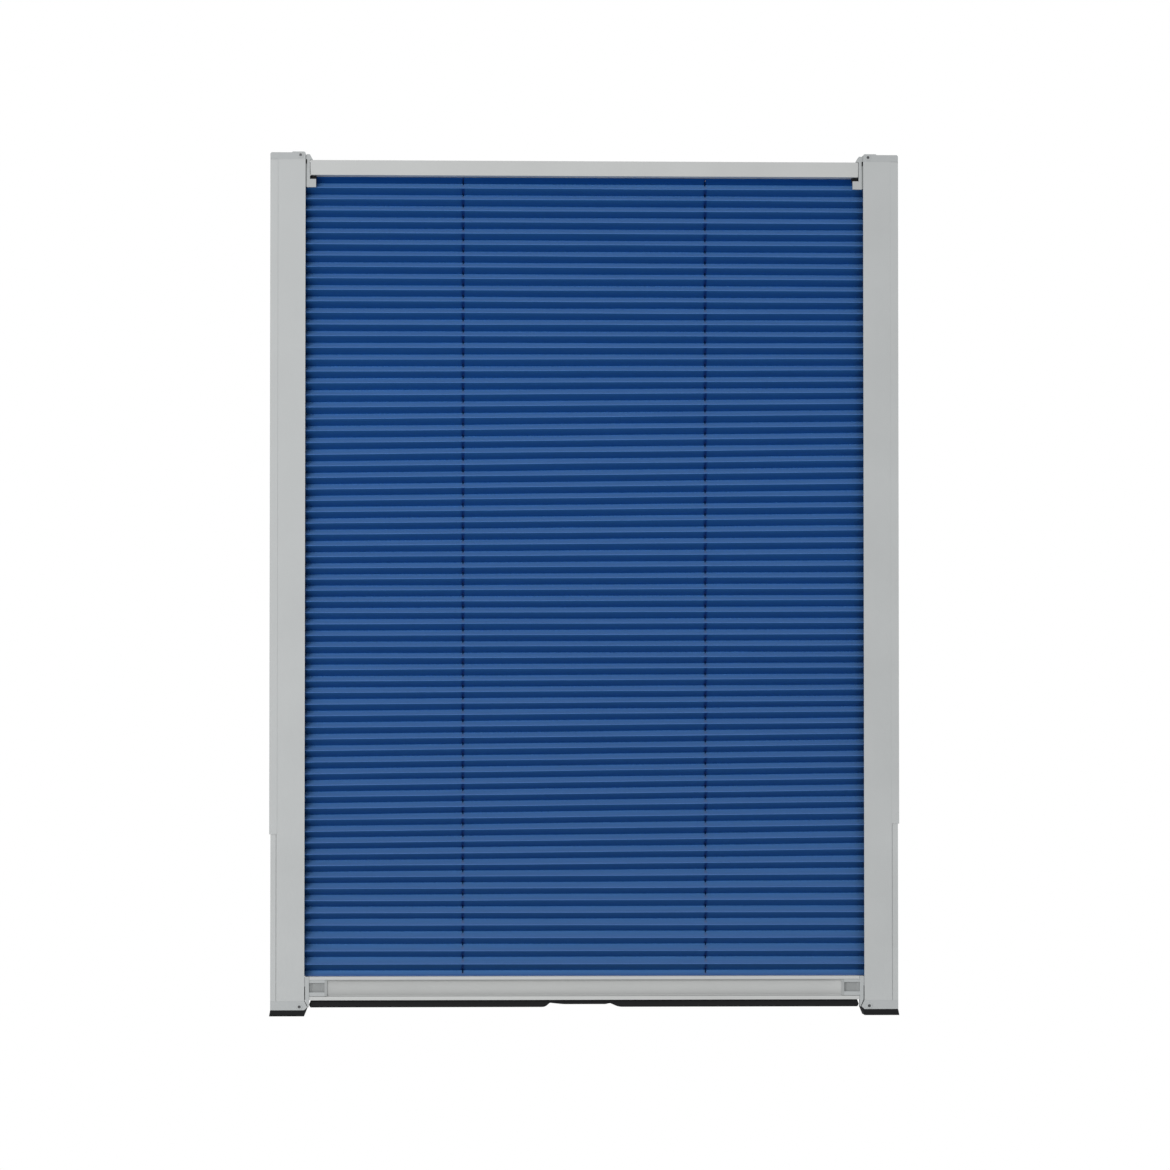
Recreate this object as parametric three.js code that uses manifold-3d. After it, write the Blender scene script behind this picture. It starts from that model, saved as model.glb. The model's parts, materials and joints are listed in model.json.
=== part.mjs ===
// A pleated blind for a roof window. Two side rails carry a top rail, a pleated fabric hangs from it,
// and a bottom bar slides in the side rails on two crossed, sprung cords that keep it level.
// Millimetres, +Z up, +X right, and the front faces -Y. The origin is the middle of the top rail's back face.
import * as THREE from "three";
import { mergeVertices } from "three/addons/utils/BufferGeometryUtils.js";
import Module from "manifold-3d";

const wasm = await Module();
wasm.setup();

// Whole blind
const clearWidth = 545;
const railLength = 818.5;
const railTopRise = 7.8;
const seam = 0.2;
const clearance = 0.3;
const overrun = 1;

// Side rails
const railWidth = 33;
const railDepth = 26;
const railWall = 1.6;
const channelDepth = 20;
const grooveInset = 5.6;
const grooveWidth = 1.2;
const grooveDepth = 0.9;

// Trim strips on the outer edges of the side rails
const trimThickness = 1;
const trimLipThickness = 0.6;
const leftTrimLength = 657;
const rightTrimLength = 647;

// Caps and pads at the ends of the side rails
const topCapHeight = 7.5;
const shoulderLength = 12.5;
const shoulderRise = 0.8;
const capChamfer = 1.2;
const bottomCapHeight = 8.8;
const flareWidth = 3;
const flareHeight = 6;
const capTongueLength = 12;
const padHeight = 5.7;
const padSpread = 1.1;
const bossRadius = 2.9;
const bossRise = 0.4;
const capScrewInset = 4.8;
const capScrewEdge = 3.3;
const capScrewRadius = 1.1;
const capScrewLength = 18;
const hexRadius = 0.6;
const hexDepth = 1;

// Top rail
const topRailHeight = 15;
const topRailDepth = 24;
const topRailWall = 1.5;
const lipThickness = 1.2;
const slotFront = -18.5;
const slotBack = -8;

// End brackets of the top rail
const bracketSlit = 1.2;
const bracketThickness = 4;
const bracketRise = 5.7;
const bracketLanding = 2.8;
const gussetReach = 1.9;
const gussetDepth = 10;
const tabReach = 9.9;
const tabTop = 3.6;
const tabHeight = 8;
const tabThickness = 3.6;
const tabFrontStep = 1;
const bracketTongue = 12;
const bracketSpigot = 12;

// Bottom bar
const barRest = 0.6;
const barHeight = 23.4;
const barDepth = 23.5;
const barFrontStep = 0.5;
const barWall = 1.5;
const barTopLip = 4.4;
const barLowLip = 3.5;
const barFloor = 3;
const recessDepth = 5;
const recessFillet = 1.4;
const barSlotHeight = 1.9;

// Bar end caps
const barSlit = 0.8;
const flangeThickness = 3.8;
const hornHeight = 7;
const hornTip = 0.7;
const hornDepth = 8;
const insertLength = 16.8;
const insertStep = 0.8;
const insertTread = 2.9;
const insertRelief = 0.7;
const pocketLength = 13.2;
const pocketTopEdge = 7.4;
const pocketHeight = 8.8;
const pocketDepth = 2.5;
const barTongueLength = 14;
const barTongueBack = -10;

// Guide shoes, their screws and leaf springs
const shoeSetback = 1;
const shoeSpringRoom = 2.2;
const shoeTopDepth = 1.2;
const shoeBottomDepth = 15.8;
const neckHeight = 10;
const shoeScrewRadius = 1.5;
const shoeScrewLength = 26;
const shoeHeadRadius = 3;
const shoeHeadHeight = 2.4;
const leafLength = 12;
const leafWidth = 8;
const leafThickness = 0.4;

// Seal under the bar
const sealHeight = 7;
const sealThickness = 8;
const sealFrontStep = 5.5;
const sealEndGap = 5;
const sealEndSlope = 1.6;
const sealRibWidth = 3.4;
const sealRibHeight = 1.2;
const notchOffset = -4;
const notchHalfWidth = 36;
const notchFloorHalfWidth = 21;
const notchDepth = 3.9;
const notchStep = 1.2;

// Fabric and the strips that hold it
const pleatCount = 69;
const fabricFront = -21;
const fabricBack = -7;
const sheetDepth = 1.2;
const fabricOverlap = 10;
const lightPanelShare = 0.49;
const lastPleatShare = 0.17;
const stretchPower = 6;
const stripThickness = 1.3;
const stripNotch = 3;

// Cords
const cordRadius = 0.6;
const cordX = 118.5;
const cordY = -6.1;
const barRunY = -8.6;
const barRunShift = 8;
const leftRunDepth = 7;
const rightRunDepth = 11.5;
const cordBend = 2.5;
const cordHoleRadius = 1.3;
const shoeCordInset = 9;
const bendSteps = 4;
const cordSides = 8;

// Springs, crimps, anchors and cord guides
const springRadius = 2.8;
const springWireRadius = 0.4;
const springCoils = 14;
const springPitch = 3.5;
const springLeg = 4;
const coilSteps = 8;
const wireSides = 5;
const crimpLength = 6;
const crimpRadius = 1.7;
const crimpDistance = 8;
const crimpEntry = 2.4;
const anchorLength = 8;
const guideHalfLength = 5;
const guideFrontWall = 2.6;
const cordAnchorRadius = 1.5;
const cordAnchorLength = 6;
const cordAnchorHeadRadius = 2.6;
const cordAnchorHeadHeight = 1.2;

// Number of sides of round pieces
const roundSides = 24;
const hexSides = 6;

// Places that follow from the sizes
const railInner = clearWidth / 2;
const railOuter = railInner + railWidth;
const railFront = -railDepth;
const railTop = railTopRise;
const railBottom = railTop - railLength;
const channelEnd = railInner + channelDepth;
const channelFront = railFront + railWall;
const chamberInner = channelEnd + railWall;
const trimOuter = railOuter + seam + trimThickness;
const topRailTop = topRailHeight / 2;
const topRailUnderside = -topRailHeight / 2;
const bracketOuter = railInner - bracketSlit;
const bracketInner = bracketOuter - bracketThickness;
const topStripLevel = topRailUnderside + lipThickness + clearance;
const topRoomFloor = topStripLevel + stripThickness + clearance;
const topRoomCeiling = topRailTop - topRailWall - clearance;
const barTop = railBottom + barRest + barHeight;
const barFront = railFront + barFrontStep;
const barBack = barFront + barDepth;
const barFlangeOuter = railInner - barSlit;
const barFlangeInner = barFlangeOuter - flangeThickness;
const barRoomFront = barFront + recessDepth + barWall;
const barRoomBack = barBack - barWall;
const barRoomCeiling = -lipThickness - clearance - stripThickness - clearance;
const barRoomFloor = -barHeight + barFloor;
const shoeCordX = railInner + shoeCordInset;
const shoeOuter = channelEnd - shoeSpringRoom;
const shoeScrewY = (barRoomFront + barTongueBack) / 2;
const shoeScrewZ = -(shoeTopDepth + shoeBottomDepth) / 2;
const fabricTop = topRailUnderside - clearance;
const fabricBottom = barTop + clearance;
const slotMiddle = (slotFront + slotBack) / 2;

// Materials
const finish = (color, roughness, metalness) =>
  new THREE.MeshStandardMaterial({ color, roughness, metalness });
const railMetal = () => finish(0xbdbebc, 0.45, 0.7);
const capPlastic = () => finish(0xb2b4b2, 0.6, 0);
const darkPocketPlastic = () => finish(0xa9acab, 0.6, 0);
const blackRubber = () => finish(0x1d1d1f, 0.85, 0);
const darkSteel = () => finish(0x55585a, 0.4, 0.9);
const springSteel = () => finish(0xa5a8ab, 0.3, 1);
const guidePlastic = () => finish(0xe4e4e0, 0.5, 0);
const blueFabric = () => finish(0x2b4f86, 0.95, 0);
const cordYarn = () => finish(0x1b2b47, 0.9, 0);

// Solids and geometries
function toSolid(geometry) {
  const plain = geometry.clone();
  plain.deleteAttribute("normal");
  plain.deleteAttribute("uv");
  const merged = mergeVertices(plain);
  const vertProperties = merged.attributes.position.array;
  const triVerts = new Uint32Array(merged.index.array);
  return new wasm.Manifold(new wasm.Mesh({ numProp: 3, vertProperties, triVerts }));
}

function toGeometry(solid) {
  const { vertProperties, triVerts } = solid.getMesh();
  const geometry = new THREE.BufferGeometry();
  geometry.setAttribute("position", new THREE.BufferAttribute(vertProperties, 3));
  geometry.setIndex(new THREE.BufferAttribute(triVerts, 1));
  geometry.computeVertexNormals();
  return geometry;
}

// One geometry made of the first list joined together, less every geometry in the second list
function carve(joined, removed = []) {
  const [first, ...others] = joined.map(toSolid);
  const body = others.reduce((sum, solid) => sum.add(solid), first);
  return toGeometry(removed.map(toSolid).reduce((rest, solid) => rest.subtract(solid), body));
}

const outline = (points) => new THREE.Shape(points.map(([u, v]) => new THREE.Vector2(u, v)));

const extrude = (shape, depth) => new THREE.ExtrudeGeometry(shape, { depth, bevelEnabled: false });

// An outline in X and Y, extruded from one height to another
const alongZ = (shape, low, high) => extrude(shape, high - low).translate(0, 0, low);

// An outline in Y and Z, extruded from one X to another
function alongX(shape, low, high) {
  const turn = new THREE.Matrix4().makeBasis(
    new THREE.Vector3(0, 1, 0),
    new THREE.Vector3(0, 0, 1),
    new THREE.Vector3(1, 0, 0),
  );
  return extrude(shape, high - low).applyMatrix4(turn).translate(low, 0, 0);
}

// An outline in X and Z, extruded from one Y to another
function alongY(shape, low, high) {
  const turn = new THREE.Matrix4().makeBasis(
    new THREE.Vector3(1, 0, 0),
    new THREE.Vector3(0, 0, 1),
    new THREE.Vector3(0, -1, 0),
  );
  return extrude(shape, high - low).applyMatrix4(turn).translate(0, high, 0);
}

// A block given by its ranges in X, Y and Z
function block([x0, x1], [y0, y1], [z0, z1]) {
  const geometry = new THREE.BoxGeometry(x1 - x0, y1 - y0, z1 - z0);
  return geometry.translate((x0 + x1) / 2, (y0 + y1) / 2, (z0 + z1) / 2);
}

// Round bars along each axis, given by their range on it
const rod = (radius, length, sides) => new THREE.CylinderGeometry(radius, radius, length, sides);

const rodX = (radius, [x0, x1], y, z, sides = roundSides) =>
  rod(radius, x1 - x0, sides).rotateZ(Math.PI / 2).translate((x0 + x1) / 2, y, z);

const rodY = (radius, [y0, y1], x, z, sides = roundSides) =>
  rod(radius, y1 - y0, sides).translate(x, (y0 + y1) / 2, z);

const rodZ = (radius, [z0, z1], x, y, sides = roundSides) =>
  rod(radius, z1 - z0, sides).rotateX(Math.PI / 2).translate(x, y, (z0 + z1) / 2);

// A path through listed points, whose even steps fall on those points
class Route extends THREE.Curve {
  constructor(points) {
    super();
    this.points = points;
  }
  getPoint(t, target = new THREE.Vector3()) {
    const place = t * (this.points.length - 1);
    const start = Math.min(Math.floor(place), this.points.length - 2);
    return target.lerpVectors(this.points[start], this.points[start + 1], place - start);
  }
  getUtoTmapping(u) {
    return u;
  }
}

// An unbroken tube along listed points
function tube(points, radius, sides) {
  const ring = [];
  for (let i = 0; i < sides; i++) {
    const angle = (2 * Math.PI * i) / sides;
    ring.push([radius * Math.cos(angle), radius * Math.sin(angle)]);
  }
  const extrudePath = new Route(points);
  return new THREE.ExtrudeGeometry(outline(ring), { steps: points.length - 1, extrudePath });
}

// The points of a route through corners, with each inner corner rounded
function rounded(corners, radius) {
  const places = corners.map(([x, y, z]) => new THREE.Vector3(x, y, z));
  const points = [places[0]];
  for (let i = 1; i < places.length - 1; i++) {
    const corner = places[i];
    const before = places[i - 1].clone().sub(corner).setLength(radius).add(corner);
    const after = places[i + 1].clone().sub(corner).setLength(radius).add(corner);
    points.push(...new THREE.QuadraticBezierCurve3(before, corner, after).getPoints(bendSteps));
  }
  points.push(places[places.length - 1]);
  return points;
}

// Side rail: a channel open towards the fabric, and a closed chamber on its outer side
function sideRail() {
  const grooveInner = railOuter - grooveInset - grooveWidth / 2;
  const grooveOuter = grooveInner + grooveWidth;
  const section = outline([
    [railInner, railFront],
    [grooveInner, railFront],
    [grooveInner, railFront + grooveDepth],
    [grooveOuter, railFront + grooveDepth],
    [grooveOuter, railFront],
    [railOuter, railFront],
    [railOuter, 0],
    [railInner, 0],
    [railInner, -railWall],
    [channelEnd, -railWall],
    [channelEnd, channelFront],
    [railInner, channelFront],
  ]);
  const chamber = block(
    [chamberInner, railOuter - railWall],
    [channelFront, -railWall],
    [railBottom - overrun, railTop + overrun],
  );
  return carve([alongZ(section, railBottom, railTop)], [chamber]);
}

// Trim strip: wraps the outer edge, and its lip hooks into the rail's front groove
function trimStrip(length) {
  const hookInner = railOuter - grooveInset - grooveWidth / 2 + clearance;
  const hookOuter = hookInner + grooveWidth - 2 * clearance;
  const lipBack = railFront - seam;
  const lipFront = lipBack - trimLipThickness;
  const section = outline([
    [railOuter + seam, 0],
    [trimOuter, 0],
    [trimOuter, lipFront],
    [hookInner, lipFront],
    [hookInner, railFront + grooveDepth - clearance],
    [hookOuter, railFront + grooveDepth - clearance],
    [hookOuter, lipBack],
    [railOuter + seam, lipBack],
  ]);
  return alongZ(section, railTop - length, railTop);
}

// The tongue that holds a cap in the rail's chamber
const capTongue = (low, high) =>
  block(
    [chamberInner + clearance, railOuter - railWall - clearance],
    [channelFront + clearance, -railWall - clearance],
    [low, high],
  );

// The boss round a cap's screw, and the screw's blind hole
const capBoss = (z) =>
  rodY(bossRadius, [railFront - bossRise, railFront + overrun], railInner + capScrewInset, z);

const capScrewHole = (z) =>
  rodY(
    capScrewRadius + clearance,
    [railFront - bossRise - overrun, railFront + capScrewLength + clearance],
    railInner + capScrewInset,
    z,
  );

const topCapTop = railTop + seam + topCapHeight;
const topScrewZ = topCapTop - capScrewEdge;

function topCap() {
  const low = railTop + seam;
  const outerTop = topCapTop - shoulderRise;
  const shape = outline([
    [railInner, low],
    [trimOuter, low],
    [trimOuter, outerTop - capChamfer],
    [trimOuter - capChamfer, outerTop],
    [railInner + shoulderLength + shoulderRise, outerTop],
    [railInner + shoulderLength, topCapTop],
    [railInner + capChamfer, topCapTop],
    [railInner, topCapTop - capChamfer],
  ]);
  return carve(
    [
      alongY(shape, railFront, 0),
      capTongue(railTop - capTongueLength, low + overrun),
      capBoss(topScrewZ),
    ],
    [capScrewHole(topScrewZ)],
  );
}

const bottomCapTop = railBottom - seam;
const bottomCapBottom = bottomCapTop - bottomCapHeight;
const bottomScrewZ = bottomCapBottom + capScrewEdge;

function bottomCap() {
  const flareTip = bottomCapTop - flareHeight;
  const shape = outline([
    [railInner, bottomCapTop],
    [railInner - flareWidth, flareTip],
    [railInner, bottomCapBottom],
    [railOuter, bottomCapBottom],
    [railOuter, bottomCapTop],
  ]);
  const anchorHole = rodZ(
    cordAnchorRadius + clearance,
    [bottomCapTop - cordAnchorLength - clearance, bottomCapTop + overrun],
    shoeCordX,
    barRunY,
  );
  return carve(
    [
      alongY(shape, railFront, 0),
      capTongue(bottomCapTop - overrun, railBottom + capTongueLength),
      capBoss(bottomScrewZ),
    ],
    [capScrewHole(bottomScrewZ), anchorHole],
  );
}

// Foot pad: a rubber block whose inner end follows the cap's slanted corner
function footPad() {
  const top = bottomCapBottom - seam;
  const flareTip = bottomCapTop - flareHeight;
  const slopeGap = seam + seam;
  const shape = outline([
    [railInner, top],
    [railOuter, top],
    [railOuter + padSpread, top - padHeight],
    [railInner + seam, top - padHeight],
    [railInner - flareWidth - seam, flareTip - slopeGap],
    [railInner - flareWidth + seam, flareTip - slopeGap],
  ]);
  return alongY(shape, railFront, 0);
}

// Cap screw: a slim set screw with a hexagon socket, sunk flush with the cap's front
function capScrew(z) {
  const front = railFront;
  const x = railInner + capScrewInset;
  const hex = rodY(hexRadius, [front - overrun, front + hexDepth], x, z, hexSides);
  return carve([rodY(capScrewRadius, [front, front + capScrewLength], x, z)], [hex]);
}

// Cord anchor: a headed clamp stud in the bottom cap, which holds the cord's end in the channel
function cordAnchor() {
  const seat = railBottom;
  const head = rodZ(cordAnchorHeadRadius, [seat, seat + cordAnchorHeadHeight], shoeCordX, barRunY);
  const studRange = [bottomCapTop - cordAnchorLength, seat + overrun / 2];
  const stud = rodZ(cordAnchorRadius, studRange, shoeCordX, barRunY);
  return carve([head, stud]);
}

const topRailHalfLength = bracketInner - seam;

// Top rail: a box section open along its underside, with a hole for each cord in its rear lip
function topRail() {
  const lipTop = topRailUnderside + lipThickness;
  const ceiling = topRailTop - topRailWall;
  const innerFront = -topRailDepth + topRailWall;
  const section = outline([
    [0, topRailUnderside],
    [0, topRailTop],
    [-topRailDepth, topRailTop],
    [-topRailDepth, topRailUnderside],
    [slotFront, topRailUnderside],
    [slotFront, lipTop],
    [innerFront, lipTop],
    [innerFront, ceiling],
    [-topRailWall, ceiling],
    [-topRailWall, lipTop],
    [slotBack, lipTop],
    [slotBack, topRailUnderside],
  ]);
  const holes = [-cordX, cordX].map((x) =>
    rodZ(cordHoleRadius, [topRailUnderside - overrun, lipTop + overrun], x, cordY),
  );
  return carve([alongX(section, -topRailHalfLength, topRailHalfLength)], holes);
}

// End bracket: a plate with a tongue in the top rail, a spigot in the side rail and a tab below its front
function endBracket() {
  const front = -topRailDepth - seam;
  const gusset = outline([
    [bracketOuter, 0],
    [bracketOuter, topRailTop + bracketRise],
    [bracketOuter - bracketLanding, topRailTop + bracketRise],
    [bracketInner - gussetReach, topRailTop + seam],
    [bracketInner, topRailTop + seam],
    [bracketInner, 0],
  ]);
  const tabFront = railFront + tabFrontStep;
  const tabRange = [tabFront, tabFront + tabThickness];
  const tabUpper = topRailUnderside - tabTop;
  const tabLower = tabUpper - tabHeight;
  const plate = block([bracketInner, bracketOuter], [front, -clearance], [topRailUnderside, topRailTop]);
  const arm = block([bracketInner, bracketOuter], tabRange, [tabLower, 0]);
  const tab = block([railInner - bracketSlit - tabReach, bracketOuter], tabRange, [tabLower, tabUpper]);
  const tongue = block(
    [bracketInner - bracketTongue, bracketInner + overrun],
    [-topRailDepth + topRailWall + clearance, -topRailWall - clearance],
    [topRoomFloor, topRoomCeiling],
  );
  const spigot = block(
    [bracketOuter - overrun, railInner + bracketSpigot],
    [channelFront + clearance, -railWall - clearance],
    [topRailUnderside + overrun, railTop],
  );
  return carve([plate, alongY(gusset, front, front + gussetDepth), arm, tab, tongue, spigot]);
}

// Fabric strips: flat bars with a web that fills the slot, notched where the cords pass
function fabricStrip(halfLength, front, back, flange, web) {
  const section = outline([
    [front, flange[0]],
    [back, flange[0]],
    [back, flange[1]],
    [slotBack - clearance, flange[1]],
    [slotBack - clearance, web],
    [slotFront + clearance, web],
    [slotFront + clearance, flange[1]],
    [front, flange[1]],
  ]);
  const notches = [-cordX, cordX].map((x) =>
    block(
      [x - stripNotch / 2, x + stripNotch / 2],
      [slotBack, back + overrun],
      [Math.min(flange[0], flange[1]) - overrun, Math.max(flange[0], flange[1]) + overrun],
    ),
  );
  return carve([alongX(section, -halfLength, halfLength)], notches);
}

const fabricTopStrip = () =>
  fabricStrip(
    topRailHalfLength,
    -topRailDepth + topRailWall + clearance,
    -topRailWall - clearance,
    [topStripLevel + stripThickness, topStripLevel],
    topRailUnderside,
  );

const barHalfLength = barFlangeInner - seam;

const fabricBottomStrip = () =>
  fabricStrip(
    barHalfLength,
    barFront + barWall + clearance,
    barRoomBack - clearance,
    [-lipThickness - clearance - stripThickness, -lipThickness - clearance],
    0,
  );

// Pleated fabric: the folds stand a little wider apart towards the bar
function pleatedFabric() {
  const stretch = (i) => 1 + lastPleatShare * Math.pow(i / (pleatCount - 1), stretchPower);
  const halfLight = lightPanelShare / 2;
  let units = halfLight - halfLight * stretch(pleatCount - 1);
  for (let i = 0; i < pleatCount; i++) units += stretch(i);
  const unit = (fabricTop - fabricBottom) / units;
  const folds = [[slotMiddle, fabricTop]];
  let z = fabricTop - halfLight * unit;
  for (let i = 0; i < pleatCount; i++) {
    const pleat = stretch(i) * unit;
    folds.push([fabricFront, z], [fabricBack - sheetDepth, z - (1 - lightPanelShare) * pleat]);
    z -= pleat;
  }
  folds.push([slotMiddle, fabricBottom]);
  const rear = folds.map(([y, height]) => [y + sheetDepth, height]).reverse();
  const halfWidth = railInner + fabricOverlap;
  return alongX(outline([...folds, ...rear]), -halfWidth, halfWidth);
}

// Springs in the top rail, between an anchor near the middle and a crimp on the cord
const cordTopEnd = cordX - guideHalfLength - crimpDistance - crimpEntry;
const springOuterEnd = cordTopEnd - clearance;
const springBody = springCoils * springPitch;
const springInnerEnd = springOuterEnd - 2 * springLeg - springBody;

// The wire's centre line: a straight leg, coils that open out of it and close again, and a straight leg
function springPoints() {
  const points = [new THREE.Vector3(springInnerEnd, cordY, 0)];
  const steps = springCoils * coilSteps;
  for (let i = 0; i <= steps; i++) {
    const rampIn = Math.min(1, i / coilSteps);
    const rampOut = Math.min(1, (steps - i) / coilSteps);
    const radius = springRadius * Math.min(rampIn, rampOut);
    const angle = (2 * Math.PI * i) / coilSteps;
    const x = springInnerEnd + springLeg + (springBody * i) / steps;
    points.push(new THREE.Vector3(x, cordY + radius * Math.sin(angle), radius * Math.cos(angle)));
  }
  points.push(new THREE.Vector3(springOuterEnd, cordY, 0));
  return points;
}

// The least gap between points of the wire that lie half a turn or more apart along it
function leastCoilGap(points) {
  let least = Infinity;
  for (let i = 0; i < points.length; i++) {
    for (let j = i + coilSteps / 2; j < points.length; j++) {
      least = Math.min(least, points[i].distanceTo(points[j]));
    }
  }
  return least - 2 * springWireRadius;
}

const springWire = springPoints();
console.log(`least gap between the turns of a cord spring: ${leastCoilGap(springWire).toFixed(2)} mm`);

const springAnchor = () =>
  carve(
    [
      block(
        [springInnerEnd - anchorLength / 2, springInnerEnd + anchorLength / 2],
        [cordY - guideFrontWall - springWireRadius, -topRailWall - clearance],
        [topRoomFloor, topRoomCeiling],
      ),
    ],
    [
      rodX(
        springWireRadius + clearance,
        [springInnerEnd - clearance, springInnerEnd + anchorLength],
        cordY,
        0,
        cordSides,
      ),
    ],
  );

const crimp = () => {
  const start = cordTopEnd - crimpLength + crimpEntry;
  const range = [start, start + crimpLength];
  const bore = [range[0] - overrun, range[1] + overrun];
  return carve(
    [rodX(crimpRadius, range, cordY, 0)],
    [rodX(cordRadius + clearance, bore, cordY, 0)],
  );
};

// Cord routes: in the top rail, and from the fabric across the bar to the opposite shoe
const topCordPoints = rounded(
  [
    [cordTopEnd, cordY, 0],
    [cordX, cordY, 0],
    [cordX, cordY, topRailUnderside],
  ],
  cordBend,
);

const barCordPoints = (runDepth) =>
  rounded(
    [
      [-cordX, cordY, 0],
      [-cordX, cordY, -runDepth],
      [-cordX + barRunShift, barRunY, -runDepth],
      [shoeCordX, barRunY, -runDepth],
      [shoeCordX, barRunY, -shoeBottomDepth],
    ],
    cordBend,
  );

const mirrored = (points) => points.map((p) => new THREE.Vector3(-p.x, p.y, p.z));

const cord = (points) => tube(points, cordRadius, cordSides);

const straightCord = (x, y, low, high) => cord([new THREE.Vector3(x, y, low), new THREE.Vector3(x, y, high)]);

// The room a cord needs in what it passes through
const cordRoom = (points) => tube(points, cordRadius + clearance, cordSides);

// A route with both its ends run on, so that its room opens through the faces there
function runOn(points) {
  const first = points[0].clone().sub(points[1]).setLength(overrun).add(points[0]);
  const last = points.at(-1).clone().sub(points.at(-2)).setLength(overrun).add(points.at(-1));
  return [first, ...points, last];
}

const topCordGuide = () =>
  carve(
    [
      block(
        [cordX - guideHalfLength, cordX + guideHalfLength],
        [cordY - guideFrontWall, -topRailWall - clearance],
        [topRoomFloor, topRoomCeiling],
      ),
    ],
    [cordRoom(topCordPoints)],
  );

const barCordGuide = (ownRun, otherRun) =>
  carve(
    [
      block(
        [cordX - guideHalfLength, cordX + guideHalfLength],
        [barRunY - guideFrontWall, barRoomBack - clearance],
        [barRoomFloor + clearance, barRoomCeiling],
      ),
    ],
    [cordRoom(barCordPoints(ownRun)), cordRoom(mirrored(barCordPoints(otherRun)))],
  );

// Bottom bar: a slot in its top for the fabric strip, a recessed front, and a groove under it for the seal
const recessFloor = barFront + recessDepth;
const recessTop = -barTopLip;
const recessBottom = -barHeight + barLowLip;
const sealMiddle = barFront + sealFrontStep + sealThickness / 2;

function bottomBar() {
  const grooveHalf = sealRibWidth / 2 + clearance;
  const grooveTop = -barHeight + sealRibHeight + clearance;
  const slotFloor = -lipThickness - barSlotHeight;
  const section = outline([
    [barBack, 0],
    [barBack, -barHeight],
    [sealMiddle + grooveHalf, -barHeight],
    [sealMiddle + grooveHalf, grooveTop],
    [sealMiddle - grooveHalf, grooveTop],
    [sealMiddle - grooveHalf, -barHeight],
    [barFront, -barHeight],
    [barFront, recessBottom],
    [recessFloor - recessFillet, recessBottom],
    [recessFloor - recessFillet / 4, recessBottom + recessFillet / 4],
    [recessFloor, recessBottom + recessFillet],
    [recessFloor, recessTop - recessFillet],
    [recessFloor - recessFillet / 4, recessTop - recessFillet / 4],
    [recessFloor - recessFillet, recessTop],
    [barFront, recessTop],
    [barFront, 0],
    [slotFront, 0],
    [slotFront, -lipThickness],
    [barFront + barWall, -lipThickness],
    [barFront + barWall, slotFloor],
    [barRoomFront, slotFloor],
    [barRoomFront, barRoomFloor],
    [barRoomBack, barRoomFloor],
    [barRoomBack, -lipThickness],
    [slotBack, -lipThickness],
    [slotBack, 0],
  ]);
  const holes = [-cordX, cordX].map((x) =>
    rodZ(cordHoleRadius, [-lipThickness - overrun, overrun], x, cordY),
  );
  return carve([alongX(section, -barHalfLength, barHalfLength)], holes);
}

// Bar end cap: a flange, a stepped insert with a pocket in the recess, a tongue, and a horn beside the seal
function barEndCap(runDepth) {
  const flange = block([barFlangeInner, barFlangeOuter], [barFront, barBack], [-barHeight, 0]);
  const tongue = block(
    [barFlangeInner - barTongueLength, barFlangeInner + overrun],
    [barRoomFront + clearance, barTongueBack],
    [barRoomFloor + clearance, barRoomCeiling],
  );
  const insertFront = barFront + insertStep;
  const insertBack = recessFloor - recessFillet;
  const insert = block(
    [barFlangeInner - insertLength, barFlangeInner + overrun],
    [insertFront, insertBack],
    [recessBottom + clearance, recessTop - clearance],
  );
  const relief = block(
    [barFlangeInner - insertLength - overrun, barFlangeInner - insertLength + insertTread],
    [insertFront - overrun, insertFront + insertRelief],
    [-barHeight, 0],
  );
  const horn = outline([
    [barFlangeInner, -barHeight + overrun],
    [barFlangeInner, -barHeight],
    [barFlangeInner + hornTip / 2, -barHeight - hornHeight],
    [barFlangeInner + hornTip, -barHeight - hornHeight],
    [barFlangeOuter, -barHeight],
    [barFlangeOuter, -barHeight + overrun],
  ]);
  const pocket = block(
    [barFlangeInner - pocketLength, barFlangeInner],
    [barFront - overrun, insertFront + pocketDepth],
    [-pocketTopEdge - pocketHeight, -pocketTopEdge],
  );
  const screwHole = rodX(
    shoeScrewRadius + clearance,
    [barFlangeInner - barTongueLength - overrun, barFlangeOuter + overrun],
    shoeScrewY,
    shoeScrewZ,
  );
  return carve(
    [flange, tongue, insert, alongY(horn, barFront, barFront + hornDepth)],
    [relief, pocket, screwHole, cordRoom(barCordPoints(runDepth))],
  );
}

// Guide shoe: slides in the rail's channel, bored for the cord that turns down to its anchor
function guideShoe(runDepth) {
  const body = block(
    [railInner + shoeSetback, shoeOuter],
    [channelFront + clearance, -railWall - clearance],
    [-shoeBottomDepth, -shoeTopDepth],
  );
  const neck = block(
    [barFlangeOuter + seam, railInner + shoeSetback + overrun],
    [barRoomFront, barRoomBack],
    [shoeScrewZ - neckHeight / 2, shoeScrewZ + neckHeight / 2],
  );
  const screwHole = rodX(
    shoeScrewRadius + clearance,
    [barFlangeOuter - overrun, shoeOuter + overrun],
    shoeScrewY,
    shoeScrewZ,
  );
  const headHole = rodX(
    shoeHeadRadius + clearance,
    [shoeOuter - shoeHeadHeight - clearance - seam, shoeOuter + overrun],
    shoeScrewY,
    shoeScrewZ,
  );
  return carve([body, neck], [screwHole, headHole, cordRoom(runOn(barCordPoints(runDepth)))]);
}

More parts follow.
